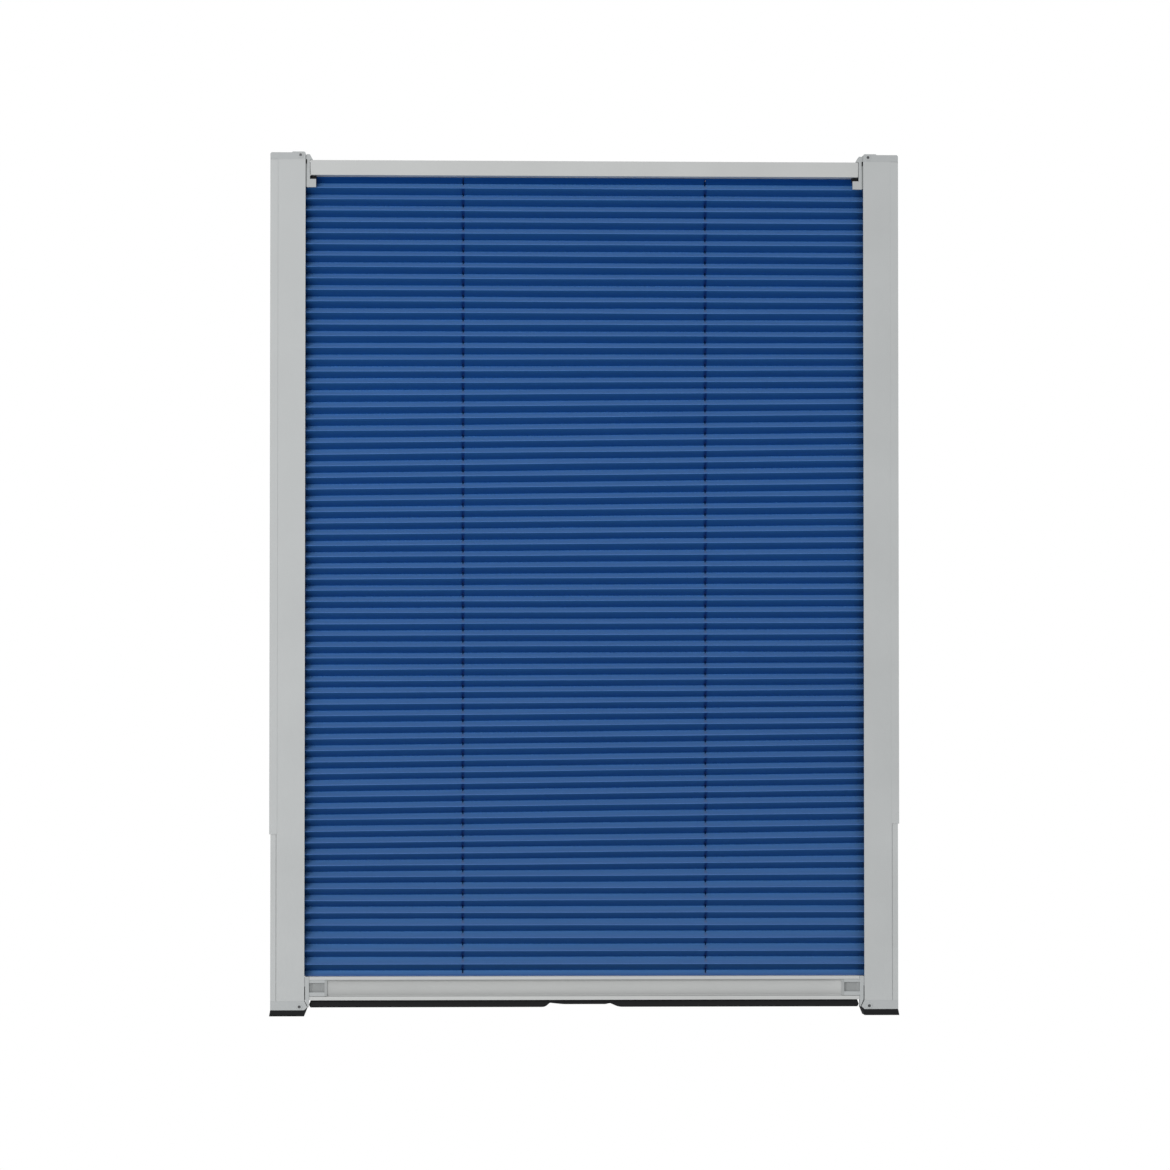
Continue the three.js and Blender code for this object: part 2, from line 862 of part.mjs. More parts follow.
function shoeScrew() {
  const headTop = shoeOuter - seam;
  const underHead = headTop - shoeHeadHeight;
  const socket = rodX(
    shoeScrewRadius,
    [headTop - shoeHeadHeight / 2, headTop + overrun],
    shoeScrewY,
    shoeScrewZ,
    hexSides,
  );
  return carve(
    [
      rodX(shoeHeadRadius, [underHead, headTop], shoeScrewY, shoeScrewZ),
      rodX(
        shoeScrewRadius,
        [underHead - shoeScrewLength, headTop - shoeHeadHeight / 2],
        shoeScrewY,
        shoeScrewZ,
      ),
    ],
    [socket],
  );
}

// Leaf spring: a bowed strip between the shoe and the rail's web
function leafSpring() {
  const near = shoeOuter + clearance;
  const far = channelEnd - clearance;
  const middle = shoeScrewZ;
  const half = leafLength / 2;
  const bow = (offset) =>
    new THREE.QuadraticBezierCurve(
      new THREE.Vector2(near + offset, middle - half),
      new THREE.Vector2(2 * far - near - leafThickness + offset, middle),
      new THREE.Vector2(near + offset, middle + half),
    ).getPoints(2 * bendSteps);
  const shape = new THREE.Shape([...bow(0), ...bow(leafThickness).reverse()]);
  return alongY(shape, shoeScrewY - leafWidth / 2, shoeScrewY + leafWidth / 2);
}

// Seal: a rubber strip with sloping ends, a rib in the bar's groove and a notch at its middle
function sealStrip() {
  const half = railInner - sealEndGap;
  const top = -barHeight - seam;
  const bottom = top - sealHeight;
  const rise = bottom + notchDepth;
  const shape = outline([
    [-half + sealEndSlope, top],
    [-half, bottom + sealHeight / 3],
    [-half + sealEndSlope, bottom],
    [notchOffset - notchHalfWidth, bottom],
    [notchOffset - (notchHalfWidth + notchFloorHalfWidth) / 2, rise],
    [notchOffset - notchFloorHalfWidth, rise - notchStep],
    [notchOffset + notchFloorHalfWidth, rise - notchStep],
    [notchOffset + (notchHalfWidth + notchFloorHalfWidth) / 2, rise],
    [notchOffset + notchHalfWidth, bottom],
    [half - sealEndSlope, bottom],
    [half, bottom + sealHeight / 3],
    [half - sealEndSlope, top],
  ]);
  const front = barFront + sealFrontStep;
  const rib = block(
    [-half + sealEndSlope, half - sealEndSlope],
    [sealMiddle - sealRibWidth / 2, sealMiddle + sealRibWidth / 2],
    [top - overrun, -barHeight + sealRibHeight],
  );
  return carve([alongY(shape, front, front + sealThickness), rib]);
}

// The scene: a frame that is fixed to the window, and the bar that slides in it
function add(group, name, geometry, material) {
  const mesh = new THREE.Mesh(geometry, material);
  mesh.name = name;
  group.add(mesh);
}

// A group whose +X points away from the blind's middle on the named side
function sideGroup(side) {
  const group = new THREE.Group();
  group.scale.x = side === "left" ? -1 : 1;
  return group;
}

const sides = [
  { side: "left", trimLength: leftTrimLength, ownRun: leftRunDepth, otherRun: rightRunDepth },
  { side: "right", trimLength: rightTrimLength, ownRun: rightRunDepth, otherRun: leftRunDepth },
];

function fixedFrame() {
  const frame = new THREE.Group();
  add(frame, "top_rail", topRail(), railMetal());
  add(frame, "fabric_top_strip", fabricTopStrip(), guidePlastic());
  add(frame, "pleated_fabric", pleatedFabric(), blueFabric());
  for (const { side, trimLength } of sides) {
    const group = sideGroup(side);
    add(group, `${side}_side_rail`, sideRail(), railMetal());
    add(group, `${side}_trim_strip`, trimStrip(trimLength), railMetal());
    add(group, `${side}_top_cap`, topCap(), capPlastic());
    add(group, `${side}_top_cap_screw`, capScrew(topScrewZ), darkSteel());
    add(group, `${side}_bottom_cap`, bottomCap(), capPlastic());
    add(group, `${side}_bottom_cap_screw`, capScrew(bottomScrewZ), darkSteel());
    add(group, `${side}_foot_pad`, footPad(), blackRubber());
    add(group, `${side}_cord_anchor`, cordAnchor(), darkSteel());
    add(group, `${side}_end_bracket`, endBracket(), capPlastic());
    add(group, `${side}_spring_anchor`, springAnchor(), guidePlastic());
    add(group, `${side}_cord_spring`, tube(springWire, springWireRadius, wireSides), springSteel());
    add(group, `${side}_cord_crimp`, crimp(), springSteel());
    add(group, `${side}_top_cord_guide`, topCordGuide(), guidePlastic());
    add(group, `${side}_top_cord`, cord(topCordPoints), cordYarn());
    add(group, `${side}_fabric_cord`, straightCord(cordX, cordY, fabricBottom, fabricTop), cordYarn());
    const railCordLow = railBottom + cordAnchorHeadHeight + clearance;
    const railCordHigh = barTop - shoeBottomDepth - clearance;
    add(group, `${side}_rail_cord`, straightCord(shoeCordX, barRunY, railCordLow, railCordHigh), cordYarn());
    frame.add(group);
  }
  return frame;
}

// The bar's own height is counted from its top face
function slidingBar() {
  const bar = new THREE.Group();
  bar.position.z = barTop;
  add(bar, "bottom_bar", bottomBar(), railMetal());
  add(bar, "fabric_bottom_strip", fabricBottomStrip(), guidePlastic());
  add(bar, "seal_strip", sealStrip(), blackRubber());
  for (const { side, ownRun, otherRun } of sides) {
    const group = sideGroup(side);
    add(group, `${side}_bar_end_cap`, barEndCap(ownRun), darkPocketPlastic());
    add(group, `${side}_guide_shoe`, guideShoe(ownRun), guidePlastic());
    add(group, `${side}_shoe_screw`, shoeScrew(), darkSteel());
    add(group, `${side}_leaf_spring`, leafSpring(), springSteel());
    add(group, `${side}_bar_cord_guide`, barCordGuide(ownRun, otherRun), guidePlastic());
    add(group, `${side}_bar_cord`, cord(barCordPoints(ownRun)), cordYarn());
    bar.add(group);
  }
  return bar;
}

const blind = new THREE.Group();
blind.name = "blind";
blind.add(fixedFrame(), slidingBar());

export default blind;
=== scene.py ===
"""A pleated blind for a roof window: two side rails, a top rail, a fabric and a sliding bar.

Metres, +Z up, the front faces -Y. The origin is the middle of the top rail's back face.
"""

import json
import math

import bmesh
import bpy
from mathutils import Matrix, Vector, noise


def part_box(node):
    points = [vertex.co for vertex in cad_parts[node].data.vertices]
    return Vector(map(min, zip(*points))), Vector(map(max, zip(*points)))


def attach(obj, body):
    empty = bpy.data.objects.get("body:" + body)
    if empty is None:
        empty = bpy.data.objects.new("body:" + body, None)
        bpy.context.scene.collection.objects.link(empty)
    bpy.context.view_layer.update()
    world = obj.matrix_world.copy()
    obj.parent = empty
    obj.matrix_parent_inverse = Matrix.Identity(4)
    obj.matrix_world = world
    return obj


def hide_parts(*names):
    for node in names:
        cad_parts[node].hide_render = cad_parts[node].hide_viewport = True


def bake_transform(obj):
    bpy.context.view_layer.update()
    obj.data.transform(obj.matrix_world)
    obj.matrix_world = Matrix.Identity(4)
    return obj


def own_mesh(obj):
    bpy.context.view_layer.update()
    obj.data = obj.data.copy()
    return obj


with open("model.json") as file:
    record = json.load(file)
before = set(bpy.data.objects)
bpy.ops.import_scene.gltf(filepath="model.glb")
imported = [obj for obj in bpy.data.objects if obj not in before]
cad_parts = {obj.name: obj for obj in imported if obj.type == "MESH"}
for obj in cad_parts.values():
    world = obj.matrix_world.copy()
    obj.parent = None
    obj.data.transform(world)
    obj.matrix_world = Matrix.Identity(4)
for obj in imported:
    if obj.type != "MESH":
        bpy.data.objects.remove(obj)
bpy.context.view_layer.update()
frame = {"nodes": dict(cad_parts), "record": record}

MM = 0.001
NEAR = 0.05 * MM  # within this, a vertex counts as at a place
HAIR = 0.01 * MM  # what rounding may shift a vertex by
SIDES = {"left": -1, "right": 1}
SLOTS = {part["node"]: part["material_slot"] for part in frame["record"]["subparts"]}

# Camera: the photograph's angle, with a long lens and hardly any perspective
CAMERA_PLACE = (-0.2103, -4.9932, -0.5581)
CAMERA_AIM = (0.0011, 0.0, -0.4060)
CAMERA_LENS = 157.1
CAMERA_SENSOR = 36.0
CAMERA_RANGE = (0.05, 100.0)

# Floor, room and lights
FLOOR_LEVEL = -1.35
FLOOR_SIZE = 2.2
ROOM_LOW = 0.33
ROOM_HIGH = 0.50
ROOM_TINT = (0.965, 0.99, 1.0)
WHITE = (1.0, 1.0, 1.0)
LIGHT_AIM = (0.0, 0.0, -0.4)
KEY_LIGHT = {"place": (-3.0, -11.3, 2.4), "size": (5.6, 4.4), "power": 507.0}
SIDE_LIGHT = {"place": (-1.1, -1.6, -0.4), "size": (0.8, 0.8), "power": 4.8}

# Cords
CORD_RADIUS = 0.6 * MM
CORD_SIDES = 12
CORD_X = 118.5 * MM
CORD_Y = -6.1 * MM
CORD_BEND = 2.5 * MM
BEND_STEPS = 6
BAR_RUN_Y = -8.6 * MM
BAR_RUN_SHIFT = 8.0 * MM
SHOE_CORD_X = 281.5 * MM
RUN_DEPTH = {"left": 7.0 * MM, "right": 11.5 * MM}
CORD_TOP_END = 103.1 * MM

# Places and sizes of the solids; the recess, insert and pocket are measured down from the bar's top
RAIL_FRONT = -26.0 * MM
RAIL_INNER = 272.5 * MM
RAIL_TOP = 7.8 * MM
RAIL_BOTTOM = -810.7 * MM
CAP_GAP = 0.2 * MM
TOP_RAIL_LOW = -7.5 * MM
TOP_RAIL_FRONT = -24.0 * MM
GROOVE_INNER = 299.3 * MM
GROOVE_OUTER = 300.5 * MM
HOOK_INNER = 299.6 * MM
HOOK_OUTER = 300.2 * MM
TRIM_FRONT = -26.8 * MM
BRACKET_OUTER = 271.3 * MM
BRACKET_INNER = 267.3 * MM
BRACKET_FRONT = -24.2 * MM
TAB_END = 261.4 * MM
BAR_FRONT = -25.5 * MM
BAR_HEIGHT = 23.4 * MM
RECESS_FLOOR = BAR_FRONT + 5.0 * MM
RECESS_TOP = 4.4 * MM
RECESS_BOTTOM = 19.9 * MM
RECESS_FILLET = 1.4 * MM
FLANGE_OUTER = 271.7 * MM
FLANGE_INNER = 267.9 * MM
INSERT_END = 251.1 * MM
INSERT_FRONT = -24.7 * MM
INSERT_BACK = -21.9 * MM
INSERT_RELIEF = 0.7 * MM
INSERT_TOP = 4.7 * MM
POCKET_END = 254.7 * MM
POCKET_DEPTH = 2.5 * MM
POCKET_TOP = 7.4 * MM
POCKET_BOTTOM = 16.2 * MM
STEP_EDGE = 254.0 * MM

# How the visible rails, trims, brackets and pads depart from the solids
END_REACH = 0.16 * MM
GROOVE_REACH = 1.2 * MM
HOOK_GAP = 0.05 * MM
LIP_WIDENING = 0.45 * MM
TRIM_SINK = 0.5 * MM
FRONT_LIP_RISE = 0.5 * MM
JOINT_SHIFT = 0.9 * MM
JOINT_LINE = 0.25 * MM
PAD_SINK = 0.5 * MM
PAD_CROWN = 0.45 * MM
PAD_CUTS = 5

# How the visible bar and its end caps depart from the solids
BAR_TOP_DROP = 0.6 * MM
LIP_TRIM = 0.8 * MM
TOP_LIP_LEAN = 0.9 * MM
LOW_LIP_LEAN = 0.35 * MM
RECESS_CROWN = 0.5 * MM
RECESS_CUTS = 7
RECESS_LEAN = 0.5 * MM
FILLET_REACH = 1.6 * MM
RAMP_START = 236.0 * MM
RAMP_END = 251.05 * MM
RAMP_BACK = 252.4 * MM
RAMP_RISE = 2.1 * MM
# Painted shade in the bar's recess: its strength, its share in the floor's middle, and where it
# starts and how far it reaches
RECESS_SHADE_STRENGTH = 0.19
RECESS_MIDDLE_SHADE = 0.4
RECESS_SHADE_START = 1.2 * MM
RECESS_SHADE_REACH = 0.5 * MM
INSERT_MARGIN = 0.5 * MM
INSERT_SINK = 0.6 * MM
INSERT_SLOPE = 1.2 * MM
INSERT_STEP = 0.02 * MM
POCKET_WIDENING = 1.9 * MM
STEP_WIDENING = 1.8 * MM
POCKET_FLOOR = -21.6 * MM
POCKET_TOP_RISE = 0.8 * MM
POCKET_LOW_RISE = 0.5 * MM

# Small blocks: how far each reaches into its carrier, stays clear, or lies from its nearest place
HOLD = 0.1 * MM
CLEARANCE = 0.1 * MM
RAIL_CLEARANCE = 0.12 * MM
LINER_DEPTH = (-0.5 * MM, 0.1 * MM)
LINER_LOW_RISE = 0.6 * MM
LINER_TOP_RISE = 0.7 * MM
LINER_BENDS = ((2.2 * MM, 1.2 * MM), (3.2 * MM, 1.5 * MM))
RIB_END = 0.9 * MM
RIB_HOLD = 0.15 * MM
RIB_FRONT = 0.06 * MM
RIB_BACK = 0.6 * MM
RIB_LOW_RISE = 0.25 * MM
RIB_TOP_RISE = 0.55 * MM
BAR_LUG_HOLD = 0.5 * MM
BAR_LUG_DEPTH = (0.3 * MM, 6.0 * MM)
BAR_LUG_HEIGHT = (-10.0 * MM, -1.1 * MM)
BAR_STRIP_DEPTH = (1.5 * MM, 5.0 * MM)
BAR_STRIP_RISE = 0.2 * MM
BRACKET_LUG_HOLD = 0.6 * MM
BRACKET_LUG_DEPTH = (0.1 * MM, 9.0 * MM)
BRACKET_LUG_HEIGHT = (0.3 * MM, 4.9 * MM)
BRACKET_STRIP_DEPTH = (-0.5 * MM, 0.2 * MM)
BRACKET_STRIP_RISE = 0.3 * MM
BRACKET_PAD_DEPTH = (-0.7 * MM, 0.2 * MM)
BRACKET_PAD_HEIGHT = (-4.0 * MM, 0.2 * MM)
# The black block above the tab is painted shadow
SHADOW_BLOCK_END = 0.4 * MM
SHADOW_BLOCK_HOLD = 0.7 * MM
SHADOW_BLOCK_DEPTH = (-20.0 * MM, -14.6 * MM)
SHADOW_BLOCK_HEIGHT = (-11.3 * MM, -7.45 * MM)

# The seal: insets of its ends' top, point and bottom, and its notch's places, rises and radii
SEAL_GAP = 0.2 * MM
SEAL_POINT_RISE = 2.6 * MM
SEAL_LEFT_INSETS = (1.2 * MM, -0.5 * MM, 0.9 * MM)
SEAL_RIGHT_INSETS = (1.6 * MM, 0.0, 1.2 * MM)
SEAL_END_RADII = (0.3 * MM, 0.5 * MM, 0.6 * MM)
SEAL_NOTCH = (
    (-38.6 * MM, 0.0, 2.6 * MM),
    (-34.0 * MM, 4.1 * MM, 1.0 * MM),
    (-21.0 * MM, 2.7 * MM, 2.5 * MM),
    (20.5 * MM, 2.7 * MM, 1.5 * MM),
    (24.6 * MM, 3.7 * MM, 1.0 * MM),
    (33.0 * MM, 0.0, 3.0 * MM),
)
SEAL_CORNER_STEPS = 4

# How wide each piece's rounded edges are
EDGE_WIDTH = {
    "side_rail": 0.2 * MM,
    "trim_strip": 0.1 * MM,
    "top_cap": 0.15 * MM,
    "bottom_cap": 0.2 * MM,
    "foot_pad": 0.4 * MM,
    "top_rail": 0.3 * MM,
    "end_bracket": 0.3 * MM,
    "bottom_bar": 0.3 * MM,
    "bar_end_cap": 0.25 * MM,
    "guide_shoe": 0.4 * MM,
    "seal_strip": 0.35 * MM,
    "fabric_bottom_strip": 0.1 * MM,
    "pocket_shade_sheet": 0.15 * MM,
    "pocket_rib": 0.2 * MM,
    "bar_side_lug": 0.12 * MM,
    "bar_gap_shade_strip": 0.1 * MM,
    "bracket_lug": 0.12 * MM,
    "bracket_gap_shade_strip": 0.1 * MM,
    "bracket_gap_shadow_pad": 0.1 * MM,
    "tab_shadow_block": 0.3 * MM,
}

# Limits for picking edges and faces: degrees, edge widths, and shares of a face's normal
SHARP_ANGLE = 28
SEAL_SHARP_ANGLE = 50
FLAT_ANGLE = 1
SMOOTH_SPAN = 3.0
FRONT_SHARE = 0.9
SIDEWAYS_SHARE = 0.3
DOUBLE_DISTANCE = 0.002 * MM

# Pleats: folds, panels between two folds, and what the cords do to them
PLEATS = 69
CREST_Y = -21.0 * MM
VALLEY_Y = -3.6 * MM
SLOT_Y = -13.0 * MM
FIRST_CREST_Y = -14.0 * MM
FIRST_VALLEY_DROP = 5.9 * MM
LAST_PANEL_HEIGHT = 5.1 * MM
LAST_STRETCH = 8.7 * MM
STRETCH_POWER = 13.5
UNDER_PANEL_TOP = 5.0 * MM
UNDER_PANEL_LOW = 6.5 * MM
UNDER_PANEL_POWER = 0.5
SWAY = 1.25 * MM
SWAY_PLEATS = 46
SWAY_START = 2
LEAN = 0.0083
LEAN_WAVE = 0.0044
LEAN_PLEATS = 28
LEAN_PEAK = 26
LEAN_RISE = (8, 22)
LEAN_FALL = (58, 67)
UNDER_ROWS = (0.0, 0.03, 0.06, 0.30, 0.78, 0.94, 0.97)
UPPER_ROWS = (0.0, 0.03, 0.06, 0.24, 0.55, 0.94, 0.97)
COLUMN_STEP = 18.0 * MM
CORD_COLUMNS = (-8.0, -3.2, -1.9, -1.0, -0.48, 0.48, 1.0, 1.9, 3.2, 8.0)
CLOTH_THICKNESS = 0.3 * MM
FOLD_BLUNTNESS = 0.45 * MM
HELD_PANELS = 3
FOLD_STRAY = 0.30 * MM
FOLD_NOISE = (7, 3.7, 1.3)
PANEL_STRAY = 0.20 * MM
PANEL_NOISE = (16, 5.1, 8.9)
GROOVE_DEPTH = 0.5 * MM
GROOVE_HALF_WIDTH = 0.8 * MM
GROOVE_SPAN = (0.05, 0.9)
HOLE_HALF_WIDTH = 0.5 * MM
# Painted shade over each cord's channel on the panels that face down: its dark core, its reach, and
# how much wider it is at the crest and the valley
CORD_SHADE_CORE = 0.8 * MM
CORD_SHADE_REACH = 2.0 * MM
CREST_CORD_SHADE_WIDENING = 2.0 * MM
VALLEY_CORD_SHADE_WIDENING = 0.8 * MM
# Painted shadow of the top rail on the first panels
TOP_SHADE = 0.75
# A painted grey spot that stands for the lit cord: its row, half width and strength
SPOT_ROW = 0.55
SPOT_HALF_WIDTH = 1.6 * MM
SPOT_STRENGTH = 0.45
# How fast the painted shade grows towards the bar
LOW_SHADE_POWER = 3

# Cloth and cord: linear colours, and the sizes of the weave and braid
# Painted light and shade: the panels facing down take the under blues, a darker copy, and those
# facing up take the upper blues, a lighter, greyer copy. Each is painted lighter at the valley than
# at the crest.
UNDER_CREST_BLUE = (0.0185, 0.110, 0.322)
UNDER_VALLEY_BLUE = (0.0135, 0.150, 0.405)
UPPER_CREST_BLUE = (0.086, 0.206, 0.51)
UPPER_VALLEY_BLUE = (0.140, 0.430, 0.87)
STREAK_DARK = (0.94, 0.96, 0.965)
STREAK_LIGHT = (1.06, 1.04, 1.035)
STREAK_SCALE = (18.0, 380.0, 380.0)
# Painted shade: the dark blue over the cord's channels and under the top rail
CORD_SHADE_BLUE = (0.0005, 0.056, 0.25)
# Painted light: the grey of the cord where light catches it
PAINTED_LIT_CORD_GREY = (0.20, 0.22, 0.36)
# Painted shade: the tint that darkens the cloth towards the bar
LOW_SHADE_TINT = (0.97, 0.88, 0.87)
YARN_WIDTH = 0.5 * MM
WAVE_RATE = 20
WEAVE_SCALE = 2 * math.pi / (WAVE_RATE * YARN_WIDTH)
WEAVE_RELIEF = 0.05 * MM
BRAID_DARK = (0.001, 0.008, 0.035)
BRAID_LIGHT = (0.002, 0.022, 0.085)
BRAID_STRANDS = 4.0
BRAID_TURNS = 900.0
BRAID_RELIEF = 0.08 * MM

# Hard finishes: linear colours, and what they have in common
COAT = (0.517, 0.528, 0.528)
LEVEL_COAT = (0.563, 0.568, 0.561)
CAP_GREY = (0.470, 0.484, 0.486)
END_CAP_GREY = (0.470, 0.485, 0.488)
# Painted shade: the darker grey of the sheet in the bar end cap's pocket
POCKET_SHADE_GREY = (0.322, 0.332, 0.332)
# Painted shade: the darker grey of the rib at the pocket's inner end
RIB_SHADE_GREY = (0.39, 0.40, 0.40)
# Painted shade: the dark grey of the strip in the bracket's slit
GAP_SHADE_GREY = (0.23, 0.24, 0.24)
RUBBER_BLACK = (0.010, 0.010, 0.011)
DARK_STEEL_GREY = (0.10, 0.10, 0.105)
SPRING_STEEL_GREY = (0.42, 0.43, 0.44)
GUIDE_WHITE = (0.78, 0.78, 0.76)
FLOOR_WHITE = (0.82, 0.82, 0.81)
CLOUD_SCALE = 14.0
NOISE_SPAN = {"From Min": 0.3, "From Max": 0.7}
GLOSS_SPREAD = 0.08
RELIEF_STRENGTH = 0.35


# Small tools

def near(value, target):
    """Whether a length is within a twentieth of a millimetre of another."""
    return abs(value - target) < NEAR


def smooth_step(value, start, end):
    """0 before start, 1 after end, and a soft rise between them."""
    t = min(1.0, max(0.0, (value - start) / (end - start)))
    return t * t * (3 - 2 * t)


def reaching(place, reach):
    """A range that reaches from a place by a lower and a higher amount."""
    return place + reach[0], place + reach[1]


def new_object(name, bm, material):
    """A mesh object at the origin, made from a bmesh."""
    mesh = bpy.data.meshes.new(name)
    bm.to_mesh(mesh)
    bm.free()
    mesh.materials.append(material)
    made = bpy.data.objects.new(name, mesh)
    bpy.context.scene.collection.objects.link(made)
    return made


def link(piece, body, node):
    """Puts a piece on its body in place of a CAD node, and hides the node."""
    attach(piece, body)
    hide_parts(node)


def body_of(node):
    """The CAD body that a node belongs to."""
    bodies = frame["record"]["behaviour"]["bodies"]
    return next(body for body, nodes in bodies.items() if node in nodes)


# Node groups and materials

def add_node(tree, kind, sockets=None, **settings):
    """A node with its settings, and its inputs either set or wired from another node's output."""
    made = tree.nodes.new(kind)
    for key, value in settings.items():
        setattr(made, key, value)
    for key, value in (sockets or {}).items():
        if isinstance(value, bpy.types.NodeSocket):
            tree.links.new(value, made.inputs[key])
        else:
            made.inputs[key].default_value = value
    return made


def attribute(tree, name):
    """The value of a vertex attribute."""
    return add_node(tree, "ShaderNodeAttribute", attribute_name=name).outputs["Fac"]


def object_place(tree):
    """The place of the shaded point in the object's own coordinates."""
    return add_node(tree, "ShaderNodeTexCoord").outputs["Object"]


def noise_of(tree, place, scale, detail):
    """Noise at a place, as a factor."""
    sockets = {"Vector": place, "Scale": scale, "Detail": detail}
    return add_node(tree, "ShaderNodeTexNoise", sockets).outputs["Fac"]


def math_of(tree, operation, *values):
    """The result of a math node."""
    sockets = dict(enumerate(values))
    return add_node(tree, "ShaderNodeMath", sockets, operation=operation).outputs[0]


def blend_of(tree, factor, first, second, way="MIX"):
    """A colour blended from two, each a socket or three numbers."""
    mixed = add_node(tree, "ShaderNodeMix", data_type="RGBA", blend_type=way)
    colors = [socket for socket in mixed.inputs if socket.type == "RGBA"]
    for socket, value in zip((mixed.inputs[0], *colors), (factor, first, second)):
        if isinstance(value, bpy.types.NodeSocket):
            tree.links.new(value, socket)
        else:
            socket.default_value = (*value, 1.0) if isinstance(value, tuple) else value
    return next(socket for socket in mixed.outputs if socket.type == "RGBA")


def range_of(tree, factor, low, high):
    """A number between two, by a noise factor."""
    sockets = {"Value": factor, **NOISE_SPAN, "To Min": low, "To Max": high}
    return add_node(tree, "ShaderNodeMapRange", sockets).outputs["Result"]


def tone(tree, factor, dark, light):
    """A colour between two, by a noise factor."""
    return blend_of(tree, range_of(tree, factor, 0.0, 1.0), dark, light)


def add_relief(tree, shader, height, strength, distance):
    """Gives a shader the bump of a height."""
    sockets = {"Height": height, "Strength": strength, "Distance": distance}
    relief = add_node(tree, "ShaderNodeBump", sockets)
    tree.links.new(relief.outputs["Normal"], shader.inputs["Normal"])


def surface_group():
    """Cloudy tone, fine grain and lengthwise drawing lines, for metals, plastics and rubber."""
    tree = bpy.data.node_groups.new("surface", "ShaderNodeTree")
    for title, kind, default in (
        ("Grain Size", "NodeSocketFloat", 0.0004),
        ("Line Size", "NodeSocketVector", (0.0003, 0.0003, 0.05)),
        ("Lines", "NodeSocketFloat", 0.5),
    ):
        socket = tree.interface.new_socket(title, in_out="INPUT", socket_type=kind)
        socket.default_value = default
    for title in ("Cloud", "Height"):
        tree.interface.new_socket(title, in_out="OUTPUT", socket_type="NodeSocketFloat")
    given = add_node(tree, "NodeGroupInput")
    place = object_place(tree)
    cloud = noise_of(tree, place, CLOUD_SCALE, detail=3.0)
    grain_scale = math_of(tree, "DIVIDE", 1.0, given.outputs["Grain Size"])
    grain = noise_of(tree, place, grain_scale, detail=1.0)
    shrunk = add_node(
        tree, "ShaderNodeVectorMath", {0: place, 1: given.outputs["Line Size"]}, operation="DIVIDE"
    )
    lines = noise_of(tree, shrunk.outputs[0], scale=1.0, detail=2.0)
    height = add_node(
        tree,
        "ShaderNodeMix",
        {"Factor": given.outputs["Lines"], "A": grain, "B": lines},
        data_type="FLOAT",
    )
    out = add_node(tree, "NodeGroupOutput")
    tree.links.new(cloud, out.inputs["Cloud"])
    tree.links.new(height.outputs["Result"], out.inputs["Height"])
    return tree


def new_material(name):
    """A material with a bare Principled shader; returns the material, its tree and the shader."""
    made = bpy.data.materials.new(name)
    made.use_nodes = True
    tree = made.node_tree
    tree.nodes.clear()
    shader = add_node(tree, "ShaderNodeBsdfPrincipled")
    out = add_node(tree, "ShaderNodeOutputMaterial")
    tree.links.new(shader.outputs["BSDF"], out.inputs["Surface"])
    return made, tree, shader


def plain_finish(
    name,
    color,
    roughness,
    metallic=0.0,
    specular=0.5,
    vary=0.03,
    grain=0.4,
    lines=(0.4, 0.4, 0.4),
    drawn=0.0,
    bump=0.02,
    shade_share=0.0,
):
    """A hard finish: uneven colour and gloss over fine grain or drawing lines, in millimetres.

    Where a mesh carries painted recess shade as a vertex attribute, the colour is darker there by
    the given share.
    """
    made, tree, shader = new_material(name)
    sizes = {
        "Grain Size": grain * MM,
        "Line Size": [size * MM for size in lines],
        "Lines": drawn,
    }
    surface = add_node(tree, "ShaderNodeGroup", sizes, node_tree=SURFACE)
    cloud = surface.outputs["Cloud"]
    dark = tuple(c * (1 - vary) for c in color)
    light = tuple(min(1.0, c * (1 + vary)) for c in color)
    shade = tone(tree, cloud, dark, light)
    # Painted shade where the mesh asks for it
    if shade_share:
        shaded = tuple(c * (1 - shade_share) for c in color)
        shade = blend_of(tree, attribute(tree, "painted_recess_shade"), shade, shaded)
    tree.links.new(shade, shader.inputs["Base Color"])
    gloss = range_of(tree, cloud, roughness * (1 - GLOSS_SPREAD), roughness * (1 + GLOSS_SPREAD))
    tree.links.new(gloss, shader.inputs["Roughness"])
    shader.inputs["Metallic"].default_value = metallic
    shader.inputs["Specular IOR Level"].default_value = specular
    add_relief(tree, shader, surface.outputs["Height"], RELIEF_STRENGTH, bump * MM)
    return made


